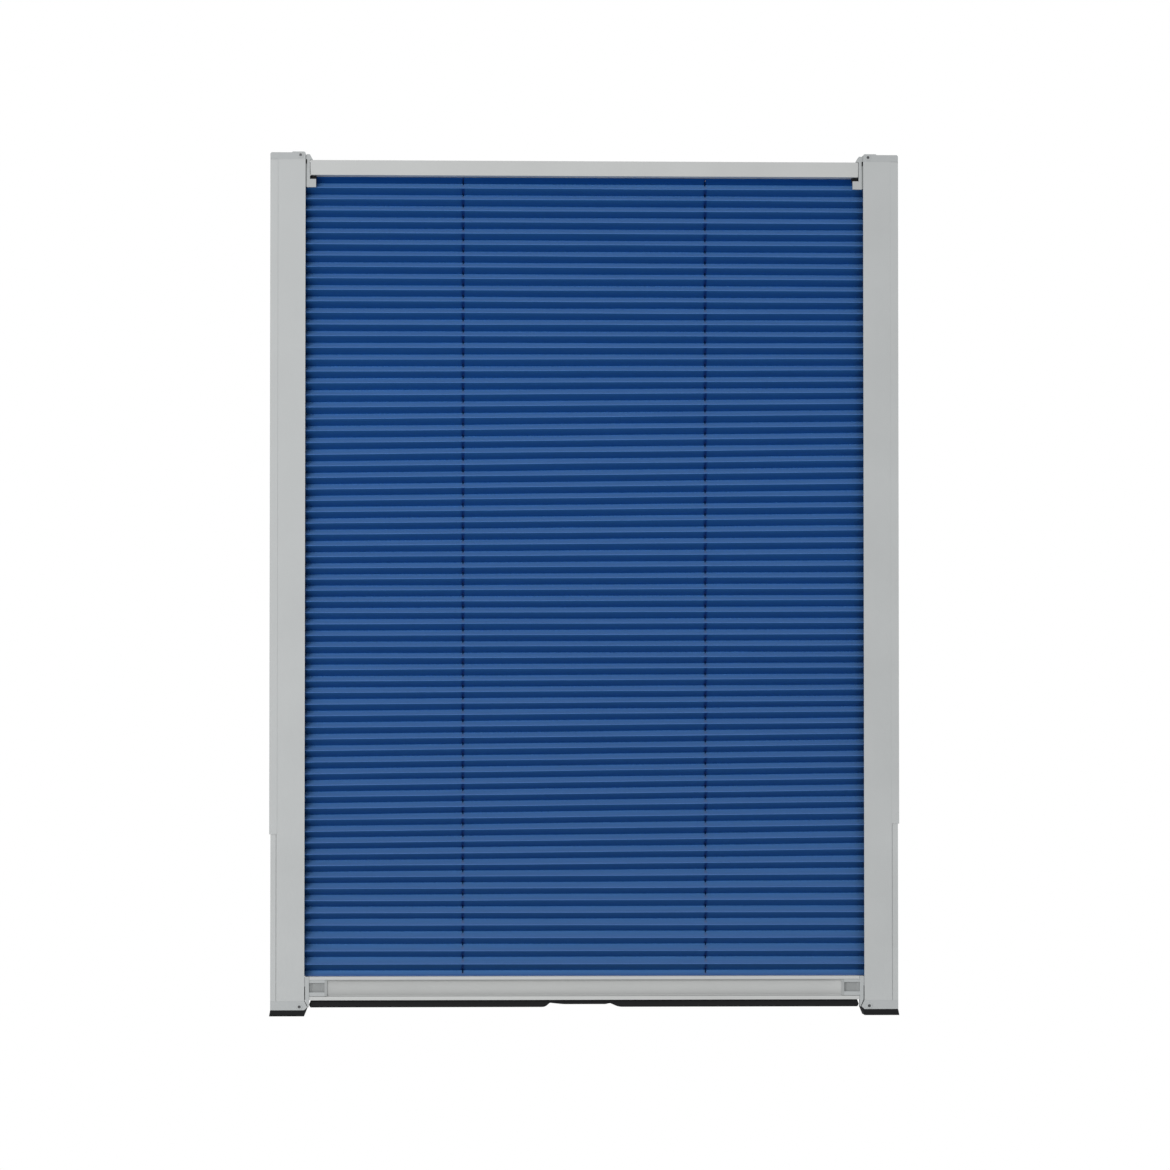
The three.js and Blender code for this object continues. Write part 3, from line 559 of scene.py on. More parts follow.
def cloth_finish():
    """Blue woven polyester: fine weave and faint streaks, over painted light and shade.

    The panels that face up get a lighter, greyer copy of the blue, and all panels are painted
    lighter deep in the folds. Painted shade darkens the cord's channels, the first panels under the
    top rail and the cloth towards the bar, and a painted grey spot stands for the lit cord on the
    upper panels.
    """
    made, tree, shader = new_material("blue_pleated_cloth")
    uv = add_node(tree, "ShaderNodeUVMap", uv_map="cut").outputs["UV"]
    sockets = {"Vector": object_place(tree), "Scale": STREAK_SCALE}
    stretched = add_node(tree, "ShaderNodeMapping", sockets).outputs[0]
    streaks = noise_of(tree, stretched, scale=1.0, detail=3.0)
    # Painted light and shade: a darker copy of the blue on the panels that face down, a lighter,
    # greyer copy on those that face up, each lighter towards its valley
    depth = attribute(tree, "fold_depth")
    under = blend_of(tree, depth, UNDER_CREST_BLUE, UNDER_VALLEY_BLUE)
    upper = blend_of(tree, depth, UPPER_CREST_BLUE, UPPER_VALLEY_BLUE)
    blue = blend_of(tree, attribute(tree, "painted_lit_side"), under, upper)
    blue = blend_of(tree, 1.0, blue, tone(tree, streaks, STREAK_DARK, STREAK_LIGHT), "MULTIPLY")
    # Painted shade over the cord's channels and under the top rail
    blue = blend_of(tree, attribute(tree, "painted_shade"), blue, CORD_SHADE_BLUE)
    # Painted light: a grey spot that stands for the lit cord on the upper panels
    blue = blend_of(tree, attribute(tree, "painted_lit_cord"), blue, PAINTED_LIT_CORD_GREY)
    # Painted shade: the cloth is darker towards the bar
    blue = blend_of(tree, attribute(tree, "painted_low_shade"), blue, LOW_SHADE_TINT, "MULTIPLY")
    tree.links.new(blue, shader.inputs["Base Color"])
    shader.inputs["Roughness"].default_value = 0.7
    shader.inputs["Specular IOR Level"].default_value = 0.06
    shader.inputs["Sheen Weight"].default_value = 0.04
    shader.inputs["Sheen Roughness"].default_value = 0.4
    yarn = {"Vector": uv, "Scale": WEAVE_SCALE, "Distortion": 0.4, "Detail Scale": 2.0}
    warp = add_node(tree, "ShaderNodeTexWave", yarn, bands_direction="X").outputs["Fac"]
    weft = add_node(tree, "ShaderNodeTexWave", yarn, bands_direction="Y").outputs["Fac"]
    weave = math_of(tree, "MULTIPLY", warp, weft)
    add_relief(tree, shader, weave, strength=0.25, distance=WEAVE_RELIEF)
    return made


def cord_finish():
    """Dark blue braided cord: two sets of strands that wind opposite ways."""
    made, tree, shader = new_material("dark_braid")
    uv = add_node(tree, "ShaderNodeUVMap", uv_map="lay").outputs["UV"]
    heights = []
    for lean in (1, -1):
        lay = {"Vector": uv, "Scale": (BRAID_STRANDS, BRAID_TURNS * lean, 1.0)}
        turned = add_node(tree, "ShaderNodeMapping", lay).outputs[0]
        split = add_node(tree, "ShaderNodeSeparateXYZ", {"Vector": turned})
        added = math_of(tree, "ADD", split.outputs["X"], split.outputs["Y"])
        heights.append(math_of(tree, "SINE", math_of(tree, "MULTIPLY", added, 2 * math.pi)))
    strands = math_of(tree, "MAXIMUM", *heights)
    spread = {"Value": strands, "From Min": -1.0, "From Max": 1.0, "To Min": 0.0, "To Max": 1.0}
    shade = add_node(tree, "ShaderNodeMapRange", spread).outputs["Result"]
    tree.links.new(blend_of(tree, shade, BRAID_DARK, BRAID_LIGHT), shader.inputs["Base Color"])
    shader.inputs["Roughness"].default_value = 0.7
    shader.inputs["Specular IOR Level"].default_value = 0.1
    add_relief(tree, shader, shade, strength=0.5, distance=BRAID_RELIEF)
    return made


SURFACE = surface_group()
coated_upright = plain_finish(
    "coated_metal_upright", COAT, roughness=0.42, lines=(0.25, 0.25, 60.0), drawn=0.6
)
# The level pieces' coat; it darkens the bottom bar's recess with painted shade
coated_level = plain_finish(
    "coated_metal_level",
    LEVEL_COAT,
    roughness=0.42,
    lines=(60.0, 0.25, 0.25),
    drawn=0.6,
    shade_share=RECESS_SHADE_STRENGTH,
)
cap_plastic = plain_finish("cap_plastic", CAP_GREY, roughness=0.52, grain=0.35, bump=0.03)
end_cap_plastic = plain_finish(
    "end_cap_plastic", END_CAP_GREY, roughness=0.52, grain=0.35, bump=0.03
)
# Painted shade: the darker plastic of the pocket's sheet
pocket_shade_plastic = plain_finish(
    "pocket_shade_plastic", POCKET_SHADE_GREY, roughness=0.6, grain=0.35, bump=0.04
)
# Painted shade: the darker plastic of the pocket's rib
rib_shade_plastic = plain_finish("rib_shade_plastic", RIB_SHADE_GREY, roughness=0.55, grain=0.35, bump=0.03)
# Painted shade: the dark plastic of the strip in the bracket's slit
gap_shade_plastic = plain_finish("gap_shade_plastic", GAP_SHADE_GREY, roughness=0.6, grain=0.35, bump=0.04)
black_rubber = plain_finish(
    "black_rubber", RUBBER_BLACK, roughness=0.7, vary=0.15, grain=0.5, bump=0.06, specular=0.2
)
dark_steel = plain_finish(
    "dark_steel",
    DARK_STEEL_GREY,
    roughness=0.38,
    metallic=1.0,
    vary=0.1,
    grain=0.15,
    bump=0.01,
)
spring_steel = plain_finish(
    "spring_steel",
    SPRING_STEEL_GREY,
    roughness=0.3,
    metallic=1.0,
    vary=0.08,
    grain=0.15,
    bump=0.01,
)
guide_plastic = plain_finish(
    "guide_plastic", GUIDE_WHITE, roughness=0.45, grain=0.5, bump=0.02
)
cloth = cloth_finish()
braid = cord_finish()

FINISHES = {
    "rail_metal": coated_upright,
    "cap_plastic": cap_plastic,
    "bar_cap_plastic": end_cap_plastic,
    "black_rubber": black_rubber,
    "dark_steel": dark_steel,
    "spring_steel": spring_steel,
    "guide_plastic": guide_plastic,
    "blue_fabric": cloth,
    "cord_yarn": braid,
}
LEVEL_PIECES = ("top_rail", "bottom_bar")


def finish_of(node):
    """The material of a CAD node, or of the piece that stands for it."""
    return coated_level if node in LEVEL_PIECES else FINISHES[SLOTS[node]]


# Camera

def set_camera():
    """The camera stands a little to the left of the blind and low down, and looks slightly up."""
    lens = bpy.data.cameras.new("camera")
    lens.lens = CAMERA_LENS
    lens.sensor_width = CAMERA_SENSOR
    lens.clip_start, lens.clip_end = CAMERA_RANGE
    camera = bpy.data.objects.new("camera", lens)
    bpy.context.scene.collection.objects.link(camera)
    way = Vector(CAMERA_AIM) - Vector(CAMERA_PLACE)
    camera.location = CAMERA_PLACE
    camera.rotation_euler = way.to_track_quat("-Z", "Y").to_euler()
    bpy.context.scene.camera = camera


# Cords

def rounded(corners, radius):
    """The points of a route through corners, with each inner corner rounded."""
    corners = [Vector(c) for c in corners]
    points = [corners[0]]
    for before, corner, after in zip(corners, corners[1:], corners[2:]):
        start = corner + (before - corner).normalized() * radius
        end = corner + (after - corner).normalized() * radius
        for i in range(BEND_STEPS + 1):
            t = i / BEND_STEPS
            points.append(start.lerp(corner, t).lerp(corner.lerp(end, t), t))
    points.append(corners[-1])
    return points


def sort_faces(bm):
    """Puts the faces in one order in every run, because an extrusion does not."""
    bm.verts.index_update()
    numbers = {face: sorted(vert.index for vert in face.verts) for face in bm.faces}
    bm.faces.sort(key=lambda face: numbers[face][-1] * len(bm.verts) + numbers[face][0])


def cord_piece(name, points):
    """A round cord along the points, with its lay in a UV map: once round in U, metres in V."""
    bm = bmesh.new()
    lay = bm.loops.layers.uv.new("lay")
    way = (points[1] - points[0]).normalized()
    turn = way.to_track_quat("Z", "Y")
    bmesh.ops.create_circle(
        bm,
        segments=CORD_SIDES,
        radius=CORD_RADIUS,
        matrix=Matrix.Translation(points[0]) @ turn.to_matrix().to_4x4(),
    )
    bm.verts.ensure_lookup_table()
    rings = [list(bm.verts)]
    edges = list(bm.edges)
    along = [0.0]
    for i in range(1, len(points)):
        made = bmesh.ops.extrude_edge_only(bm, edges=edges)["geom"]
        fresh = [part for part in made if isinstance(part, bmesh.types.BMVert)]
        edges = [part for part in made if isinstance(part, bmesh.types.BMEdge)]
        edges = [edge for edge in edges if all(v in fresh for v in edge.verts)]
        ahead = (points[min(i + 1, len(points) - 1)] - points[i - 1]).normalized()
        bend = way.rotation_difference(ahead)
        bmesh.ops.translate(bm, verts=fresh, vec=points[i] - points[i - 1])
        bmesh.ops.rotate(bm, verts=fresh, cent=points[i], matrix=bend.to_matrix())
        way = ahead
        rings.append(fresh)
        along.append(along[-1] + (points[i] - points[i - 1]).length)
    bmesh.ops.holes_fill(bm, edges=bm.edges, sides=CORD_SIDES)
    bmesh.ops.recalc_face_normals(bm, faces=bm.faces)
    sort_faces(bm)
    spots = {}
    for ring, distance in zip(rings, along):
        for i, vert in enumerate(ring):
            spots[vert] = (i / CORD_SIDES, distance)
    for face in bm.faces:
        face.smooth = True
        shares = [spots[corner.vert][0] for corner in face.loops]
        wraps = len(face.verts) == 4 and max(shares) - min(shares) > 0.5
        for corner in face.loops:
            share, distance = spots[corner.vert]
            corner[lay].uv = (share + 1.0 if wraps and share < 0.5 else share, distance)
    return new_object(name, bm, braid)


def fabric_ends():
    """The heights of the fabric's upper and lower edge."""
    low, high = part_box("pleated_fabric")
    return high.z, low.z - BAR_TOP_DROP


def shorten_with_bar(piece):
    """Gives a piece between the top rail and the bar a copy of its mesh of its own."""
    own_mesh(piece)


def cords():
    """The cords' stretches: in the top rail, down the fabric, across the bar, down the rails."""
    top, bottom = fabric_ends()
    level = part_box("bottom_bar")[1].z
    for side, sign in SIDES.items():
        corners = [
            (sign * CORD_TOP_END, CORD_Y, 0),
            (sign * CORD_X, CORD_Y, 0),
            (sign * CORD_X, CORD_Y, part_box(f"{side}_top_cord")[0].z),
        ]
        piece = cord_piece(f"{side}_top_rail_cord", rounded(corners, CORD_BEND))
        link(piece, "frame", f"{side}_top_cord")

        points = [Vector((sign * CORD_X, CORD_Y, z)) for z in (bottom, top)]
        piece = cord_piece(f"{side}_lift_cord", points)
        link(piece, "frame", f"{side}_fabric_cord")
        shorten_with_bar(piece)

        depth = level - RUN_DEPTH[side]
        corners = [
            (-sign * CORD_X, CORD_Y, level - BAR_TOP_DROP),
            (-sign * CORD_X, CORD_Y, depth),
            (sign * (BAR_RUN_SHIFT - CORD_X), BAR_RUN_Y, depth),
            (sign * SHOE_CORD_X, BAR_RUN_Y, depth),
            (sign * SHOE_CORD_X, BAR_RUN_Y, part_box(f"{side}_guide_shoe")[0].z),
        ]
        piece = cord_piece(f"{side}_crossing_cord", rounded(corners, CORD_BEND))
        link(piece, "bar", f"{side}_bar_cord")

        node = f"{side}_rail_cord"
        low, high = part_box(node)
        start, end = [Vector((sign * SHOE_CORD_X, BAR_RUN_Y, z)) for z in (low.z, high.z)]
        piece = cord_piece(f"{side}_side_cord", [start, end])
        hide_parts(node)
        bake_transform(piece)


# Pleated fabric

def fold_heights(top, bottom):
    """The heights of each crest and the valley under it: a little uneven, wider near the bar."""
    spare = FIRST_VALLEY_DROP + LAST_PANEL_HEIGHT + LAST_STRETCH
    pitch = (top - bottom - spare) / (PLEATS - 1)
    heights = []
    for i in range(PLEATS):
        share = i / (PLEATS - 1)
        sway = SWAY * math.sin(2 * math.pi * (i + SWAY_START) / SWAY_PLEATS)
        stretch = LAST_STRETCH * share ** STRETCH_POWER
        valley = top - FIRST_VALLEY_DROP - pitch * i - stretch + sway
        growth = (UNDER_PANEL_LOW - UNDER_PANEL_TOP) * share ** UNDER_PANEL_POWER
        heights.append((valley + UNDER_PANEL_TOP + growth, valley))
    return heights


def lean_of(panel):
    """How much a fold rises to the right, in metres a metre: most in the lower half."""
    pleat = panel / 2
    hold = smooth_step(pleat, *LEAN_RISE) * (1 - smooth_step(pleat, *LEAN_FALL))
    return hold * (LEAN + LEAN_WAVE * math.cos(2 * math.pi * (pleat - LEAN_PEAK) / LEAN_PLEATS))


def fold_rows(top, bottom):
    """The fabric's rows from its top edge down.

    Each row has its depth, its height, the number of its panel, its share of the way down the
    panel, and whether the panel faces down.
    """
    folds = [(SLOT_Y, top)]
    for crest, valley in fold_heights(top, bottom):
        folds += [(CREST_Y if len(folds) > 1 else FIRST_CREST_Y, crest), (VALLEY_Y, valley)]
    folds.append((SLOT_Y, bottom))
    rows = []
    for i, ((y0, z0), (y1, z1)) in enumerate(zip(folds, folds[1:])):
        under = i % 2 == 1
        for share in UNDER_ROWS if under else UPPER_ROWS:
            y = y0 + (y1 - y0) * share
            z = z0 + (z1 - z0) * share
            if share == 0.0 and 0 < i:
                y += -FOLD_BLUNTNESS if y0 == VALLEY_Y else FOLD_BLUNTNESS
            rows.append((y, z, i, share, under))
    rows.append((folds[-1][0], folds[-1][1], len(folds) - 2, 1.0, False))
    return rows


def fabric_columns(half):
    """The places of the columns of vertices, closer together beside the cords."""
    beside = [sign * CORD_X + x * MM for sign in (-1, 1) for x in CORD_COLUMNS]
    reach = (CORD_COLUMNS[-1] - CORD_COLUMNS[0]) / 2 * MM + COLUMN_STEP / 3
    count = round(2 * half / COLUMN_STEP)
    even = [-half + 2 * half * i / count for i in range(count + 1)]
    even = [x for x in even if abs(abs(x) - CORD_X) > reach]
    return sorted(beside + even)


def stray_of(x, panel, share):
    """How far a fold or a panel strays from its height here, as cloth does, but not at its ends."""
    bulge = math.sin(math.pi * share)
    hold = smooth_step(panel, 0, HELD_PANELS) * smooth_step(2 * PLEATS - panel, 0, HELD_PANELS)
    fold = panel if share < 0.5 else panel + 1
    across, along, seed = FOLD_NOISE
    wave = noise.noise(Vector((x * across, fold * along, seed)))
    across, along, seed = PANEL_NOISE
    ripple = noise.noise(Vector((x * across, panel * along, seed)))
    return hold * (FOLD_STRAY * wave * (1 - bulge) + PANEL_STRAY * ripple * bulge)


def painted_shade(x, share, drop):
    """How dark the painted shade over the cord's channel is at a place on a panel that faces down:
    it stands for the cord and its hole in shadow.

    It is wider to the left at the crest high up, and wider at the valley low down.
    """
    aside = min((x - sign * CORD_X for sign in (-1, 1)), key=abs)
    reach = CORD_SHADE_REACH
    if share < 0.5 and aside < 0:
        reach += CREST_CORD_SHADE_WIDENING * (1 - drop)
    if share > 0.5:
        reach += VALLEY_CORD_SHADE_WIDENING * drop
    return 1.0 - smooth_step(abs(aside), CORD_SHADE_CORE, reach)


def is_hole(face):
    """Whether a cord passes through this face of the fabric."""
    centre = face.calc_center_median()
    if min(abs(centre.x - sign * CORD_X) for sign in (-1, 1)) > HOLE_HALF_WIDTH:
        return False
    depths = [v.co.y for v in face.verts]
    return min(depths) < CORD_Y + CORD_RADIUS and max(depths) > CORD_Y - CORD_RADIUS


def pleated_fabric():
    """One folded sheet: grooved on its lower panels where the cords run, and pierced by them."""
    top, bottom = fabric_ends()
    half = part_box("pleated_fabric")[1].x
    rows = fold_rows(top, bottom)
    columns = fabric_columns(half)
    bm = bmesh.new()
    titles = ("painted_shade", "painted_lit_cord", "painted_lit_side", "fold_depth", "painted_low_shade")
    marks, spots, painted_lit_side, depths, painted_low_shade = [bm.verts.layers.float.new(title) for title in titles]
    cut = bm.loops.layers.uv.new("cut")
    bmesh.ops.create_grid(bm, x_segments=len(columns) - 1, y_segments=len(rows) - 1, size=1.0)
    ordered = sorted(bm.verts, key=lambda v: (-round(v.co.y, 5), round(v.co.x, 5)))
    length = 0.0
    cut_place = {}
    for r, (y, z, panel, share, under) in enumerate(rows):
        if r:
            length += math.hypot(y - rows[r - 1][0], z - rows[r - 1][1])
        drop = (top - z) / (top - bottom)
        for c, x in enumerate(columns):
            vert = ordered[r * len(columns) + c]
            aside = min(abs(x - sign * CORD_X) for sign in (-1, 1))
            lift = stray_of(x, panel, share) + x * lean_of(panel + share)
            if under and GROOVE_SPAN[0] < share < GROOVE_SPAN[1] and aside < GROOVE_HALF_WIDTH:
                lift += GROOVE_DEPTH
            vert.co = (x, y, z + lift)
            # Painted shade: the cord and its hole in shadow, on the panels that face down
            vert[marks] = painted_shade(x, share, drop) if under and share > 0.0 else 0.0
            # Painted shadow of the top rail on the first two panels, lessening down the second
            if panel <= 1:
                vert[marks] = max(vert[marks], TOP_SHADE * (1.0 - share * panel / 2))
            # Painted light: a grey spot mid-way down each upper panel, beside the cord, stands for
            # the lit cord
            spotted = not under and share == SPOT_ROW and aside < SPOT_HALF_WIDTH
            vert[spots] = SPOT_STRENGTH if spotted else 0.0
            # Painted light: the panels that face up take the lit copy of the blue, and fold_depth
            # makes every panel lighter towards its valley
            vert[painted_lit_side] = 1.0 if under == (share == 0.0) else 0.0
            vert[depths] = share if under else 1.0 - share
            # Painted shade, growing towards the bar
            vert[painted_low_shade] = drop ** LOW_SHADE_POWER
            cut_place[vert] = (x + half, length)
    for face in bm.faces:
        face.smooth = True
        for corner in face.loops:
            corner[cut].uv = cut_place[corner.vert]
    bmesh.ops.recalc_face_normals(bm, faces=bm.faces)
    if bm.faces[0].normal.y > 0:
        bmesh.ops.reverse_faces(bm, faces=bm.faces)
    holes = [face for face in bm.faces if is_hole(face)]
    bmesh.ops.delete(bm, geom=holes, context="FACES")
    piece = new_object("folded_fabric", bm, cloth)
    wall = piece.modifiers.new("thickness", "SOLIDIFY")
    wall.thickness = CLOTH_THICKNESS
    wall.offset = 0.0
    link(piece, "frame", "pleated_fabric")
    shorten_with_bar(piece)


# Hard pieces

def merged_copy(node):
    """A bmesh of a CAD node with its doubles merged and its flat faces joined."""
    bm = bmesh.new()
    bm.from_mesh(frame["nodes"][node].data)
    bmesh.ops.remove_doubles(bm, verts=bm.verts, dist=DOUBLE_DISTANCE)
    bmesh.ops.dissolve_limit(
        bm,
        angle_limit=math.radians(FLAT_ANGLE),
        use_dissolve_boundaries=False,
        verts=bm.verts,
        edges=bm.edges,
    )
    return bm


def round_edges(bm, kind, steepest=SHARP_ANGLE, joints=()):
    """Rounds every edge sharper than an angle in degrees, but none at the height of a joint."""
    width = EDGE_WIDTH[kind]
    limit = math.radians(steepest)
    sharp = [e for e in bm.edges if len(e.link_faces) == 2 and e.calc_face_angle() > limit]
    sharp = [e for e in sharp if not any(near(v.co.z, joint) for joint in joints for v in e.verts)]
    bmesh.ops.bevel(
        bm,
        geom=sharp,
        offset=width,
        offset_type="OFFSET",
        affect="EDGES",
        segments=2,
        profile=0.5,
        clamp_overlap=True,
        material=-1,
    )
    for face in bm.faces:
        face.smooth = width_of(face) < SMOOTH_SPAN * width


def width_of(face):
    """The width of a face across its longest edge."""
    return face.calc_area() / max(edge.calc_length() for edge in face.edges)


def cut_across(bm, faces, place, way):
    """Cuts some faces of a mesh along a plane through a place."""
    edges = [edge for face in faces for edge in face.edges]
    verts = [vert for face in faces for vert in face.verts]
    geometry = list(dict.fromkeys([*faces, *edges, *verts]))
    bmesh.ops.bisect_plane(bm, geom=geometry, plane_co=place, plane_no=way)


def crowned(bm, front, low, high, rise, cuts):
    """Swells a flat front face between two heights, as a rolled or moulded face does."""
    for i in range(1, cuts + 1):
        level = low + (high - low) * i / (cuts + 1)
        flat = [
            f for f in bm.faces
            if near(f.calc_center_median().y, front) and abs(f.normal.y) > FRONT_SHARE
            and min(v.co.z for v in f.verts) < level < max(v.co.z for v in f.verts)
        ]
        cut_across(bm, flat, (0, 0, level), (0, 0, 1))
    middle, half = (low + high) / 2, (high - low) / 2
    for vert in bm.verts:
        if near(vert.co.y, front) and low - HAIR <= vert.co.z <= high + HAIR:
            share = (vert.co.z - middle) / half
            vert.co.y -= rise * (1 - share * share)


def stand_in(bm, node):
    """A finished mesh that stands for a CAD node."""
    link(new_object(f"{node}_piece", bm, finish_of(node)), body_of(node), node)


def small_block(kind, side, body, material, across, deep, tall, bends=(None, None)):
    """A small block with rounded edges on one side of the blind.

    Its inner and outer end may each bend forward, given as the length and rise of the bend.
    """
    sign = SIDES[side]
    bm = bmesh.new()
    verts = bmesh.ops.create_cube(bm, size=1.0)["verts"]
    spans = (sorted(sign * x for x in across), deep, tall)
    bmesh.ops.scale(bm, verts=verts, vec=Vector([high - low for low, high in spans]))
    bmesh.ops.translate(bm, verts=verts, vec=Vector([(low + high) / 2 for low, high in spans]))
    for end, inward, bend in zip(across, (1, -1), bends):
        if bend:
            length, rise = bend
            cut_across(bm, bm.faces[:], (sign * (end + inward * length), 0, 0), (1, 0, 0))
            for vert in bm.verts:
                if near(vert.co.x, sign * end):
                    vert.co.y -= rise
    round_edges(bm, kind)
    piece = new_object(f"{side}_{kind}", bm, material)
    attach(piece, body)


def side_rail(side):
    """The side rail, with its front groove drawn in close to the trim strip's hook."""
    node = f"{side}_side_rail"
    moves = ((GROOVE_INNER, HOOK_INNER - HOOK_GAP), (GROOVE_OUTER, HOOK_OUTER + HOOK_GAP))
    bm = merged_copy(node)
    for vert in bm.verts:
        vert.co.z += math.copysign(END_REACH, vert.co.z - RAIL_BOTTOM / 2)
        if vert.co.y < RAIL_FRONT + GROOVE_REACH:
            for old, new in moves:
                if near(abs(vert.co.x), old):
                    vert.co.x = SIDES[side] * new
    round_edges(bm, "side_rail", joints=(RAIL_TOP + END_REACH, RAIL_BOTTOM - END_REACH))
    stand_in(bm, node)


def trim_strip(side):
    """The trim strip, whose lip lies closer to the rail's front."""
    node = f"{side}_trim_strip"
    bm = merged_copy(node)
    for vert in bm.verts:
        if near(vert.co.y, TRIM_FRONT):
            vert.co.y = TRIM_FRONT + TRIM_SINK
            if near(abs(vert.co.x), HOOK_INNER):
                vert.co.x -= math.copysign(LIP_WIDENING, vert.co.x)
    round_edges(bm, "trim_strip")
    stand_in(bm, node)


def in_recess(vert, top):
    """Whether a vertex of the bar lies on its recess's floor or fillets, given the bar's top."""
    return (
        RECESS_FLOOR - FILLET_REACH < vert.co.y < RECESS_FLOOR + NEAR
        and RECESS_TOP - NEAR < top - vert.co.z < RECESS_BOTTOM + NEAR
    )


def shape_recess(bm, top, low, high):
    """Crowns and leans the recess's floor between two heights, and ramps it up at both ends."""
    for place in (RAMP_START, RAMP_END, RAMP_BACK, -RAMP_START, -RAMP_END, -RAMP_BACK):
        floor_faces = [f for f in bm.faces if all(in_recess(v, top) for v in f.verts)]
        cut_across(bm, floor_faces, (place, 0, 0), (1, 0, 0))
    crowned(bm, RECESS_FLOOR, low, high, RECESS_CROWN, RECESS_CUTS)
    for vert in bm.verts:
        if in_recess(vert, top):
            share = (vert.co.z - low) / (high - low)
            vert.co.y -= RECESS_LEAN * min(1.0, max(0.0, share))
            out = abs(vert.co.x)
            if RAMP_START < out < RAMP_BACK - 2 * NEAR:
                vert.co.y -= RAMP_RISE * (out - RAMP_START) / (RAMP_END - RAMP_START)


def lean_lips(bm, top):
    """Leans the bar's lips back a little, trims the upper one and lowers the bar's top."""
    for vert in bm.verts:
        if near(vert.co.y, BAR_FRONT):
            if near(vert.co.z, top):
                vert.co.y += TOP_LIP_LEAN
            if near(vert.co.z, top - RECESS_BOTTOM):
                vert.co.y += LOW_LIP_LEAN
        if near(vert.co.z, top):
            vert.co.z -= BAR_TOP_DROP
        elif near(vert.co.z, top - RECESS_TOP) and vert.co.y < RECESS_FLOOR:
            vert.co.z += LIP_TRIM


def shade_recess(bm, layer, top, low, high):
    """Smooths the recess's floor and paints shade on it, most towards its upper and lower edge."""
    behind = RECESS_FLOOR + 2 * NEAR
    for face in bm.faces:
        centre = face.calc_center_median()
        if low < centre.z < high and centre.y < behind:
            face.smooth = abs(face.normal.x) < SIDEWAYS_SHARE
    middle, half = (high + low) / 2, (high - low) / 2
    for vert in bm.verts:
        inside = BAR_FRONT + RECESS_SHADE_START < vert.co.y < behind
        if inside and top - RECESS_BOTTOM - 2 * NEAR < vert.co.z < top - RECESS_TOP + RECESS_SHADE_REACH:
            share = (vert.co.z - middle) / half
            vert[layer] = RECESS_MIDDLE_SHADE + (1.0 - RECESS_MIDDLE_SHADE) * min(1.0, share * share)


def bottom_bar():
    """The bottom bar: leaning lips, and between them a crowned recess, deeper at its lower edge."""
    bm = merged_copy("bottom_bar")
    layer = bm.verts.layers.float.new("painted_recess_shade")
    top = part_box("bottom_bar")[1].z
    low, high = top - RECESS_BOTTOM + RECESS_FILLET, top - RECESS_TOP - RECESS_FILLET
    shape_recess(bm, top, low, high)
    lean_lips(bm, top)
    round_edges(bm, "bottom_bar")
    # Painted shade in the recess, strongest at its upper and lower edge
    shade_recess(bm, layer, top, low, high)
    stand_in(bm, "bottom_bar")


def bar_end_cap(side):
    """The bar's end cap: a taller, deeper pocket, and an insert that slopes into the recess."""
    node, sign = f"{side}_bar_end_cap", SIDES[side]
    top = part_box("bottom_bar")[1].z
    bm = merged_copy(node)
    for vert in bm.verts:
        out = abs(vert.co.x)
        if near(vert.co.z, top):
            vert.co.z -= BAR_TOP_DROP
        if out > FLANGE_INNER + INSERT_MARGIN:
            continue
        if near(vert.co.z, top - INSERT_TOP):
            vert.co.z = top - RECESS_TOP + LIP_TRIM
        if near(out, POCKET_END):
            vert.co.x -= sign * POCKET_WIDENING
        elif near(out, STEP_EDGE):
            vert.co.x -= sign * STEP_WIDENING
        if near(vert.co.y, INSERT_BACK):
            vert.co.y += INSERT_SINK
        elif near(vert.co.y, INSERT_FRONT + INSERT_RELIEF):
            at_end = near(out, INSERT_END)
            vert.co.y = INSERT_BACK - INSERT_SLOPE if at_end else INSERT_FRONT + INSERT_STEP
        elif near(vert.co.y, INSERT_FRONT + POCKET_DEPTH):
            vert.co.y = POCKET_FLOOR
        if near(vert.co.z, top - POCKET_TOP) and vert.co.y < INSERT_BACK:
            vert.co.z = top - POCKET_TOP + POCKET_TOP_RISE
        elif near(vert.co.z, top - POCKET_BOTTOM) and vert.co.y < INSERT_BACK:
            vert.co.z = top - POCKET_BOTTOM + POCKET_LOW_RISE
    round_edges(bm, "bar_end_cap")
    stand_in(bm, node)


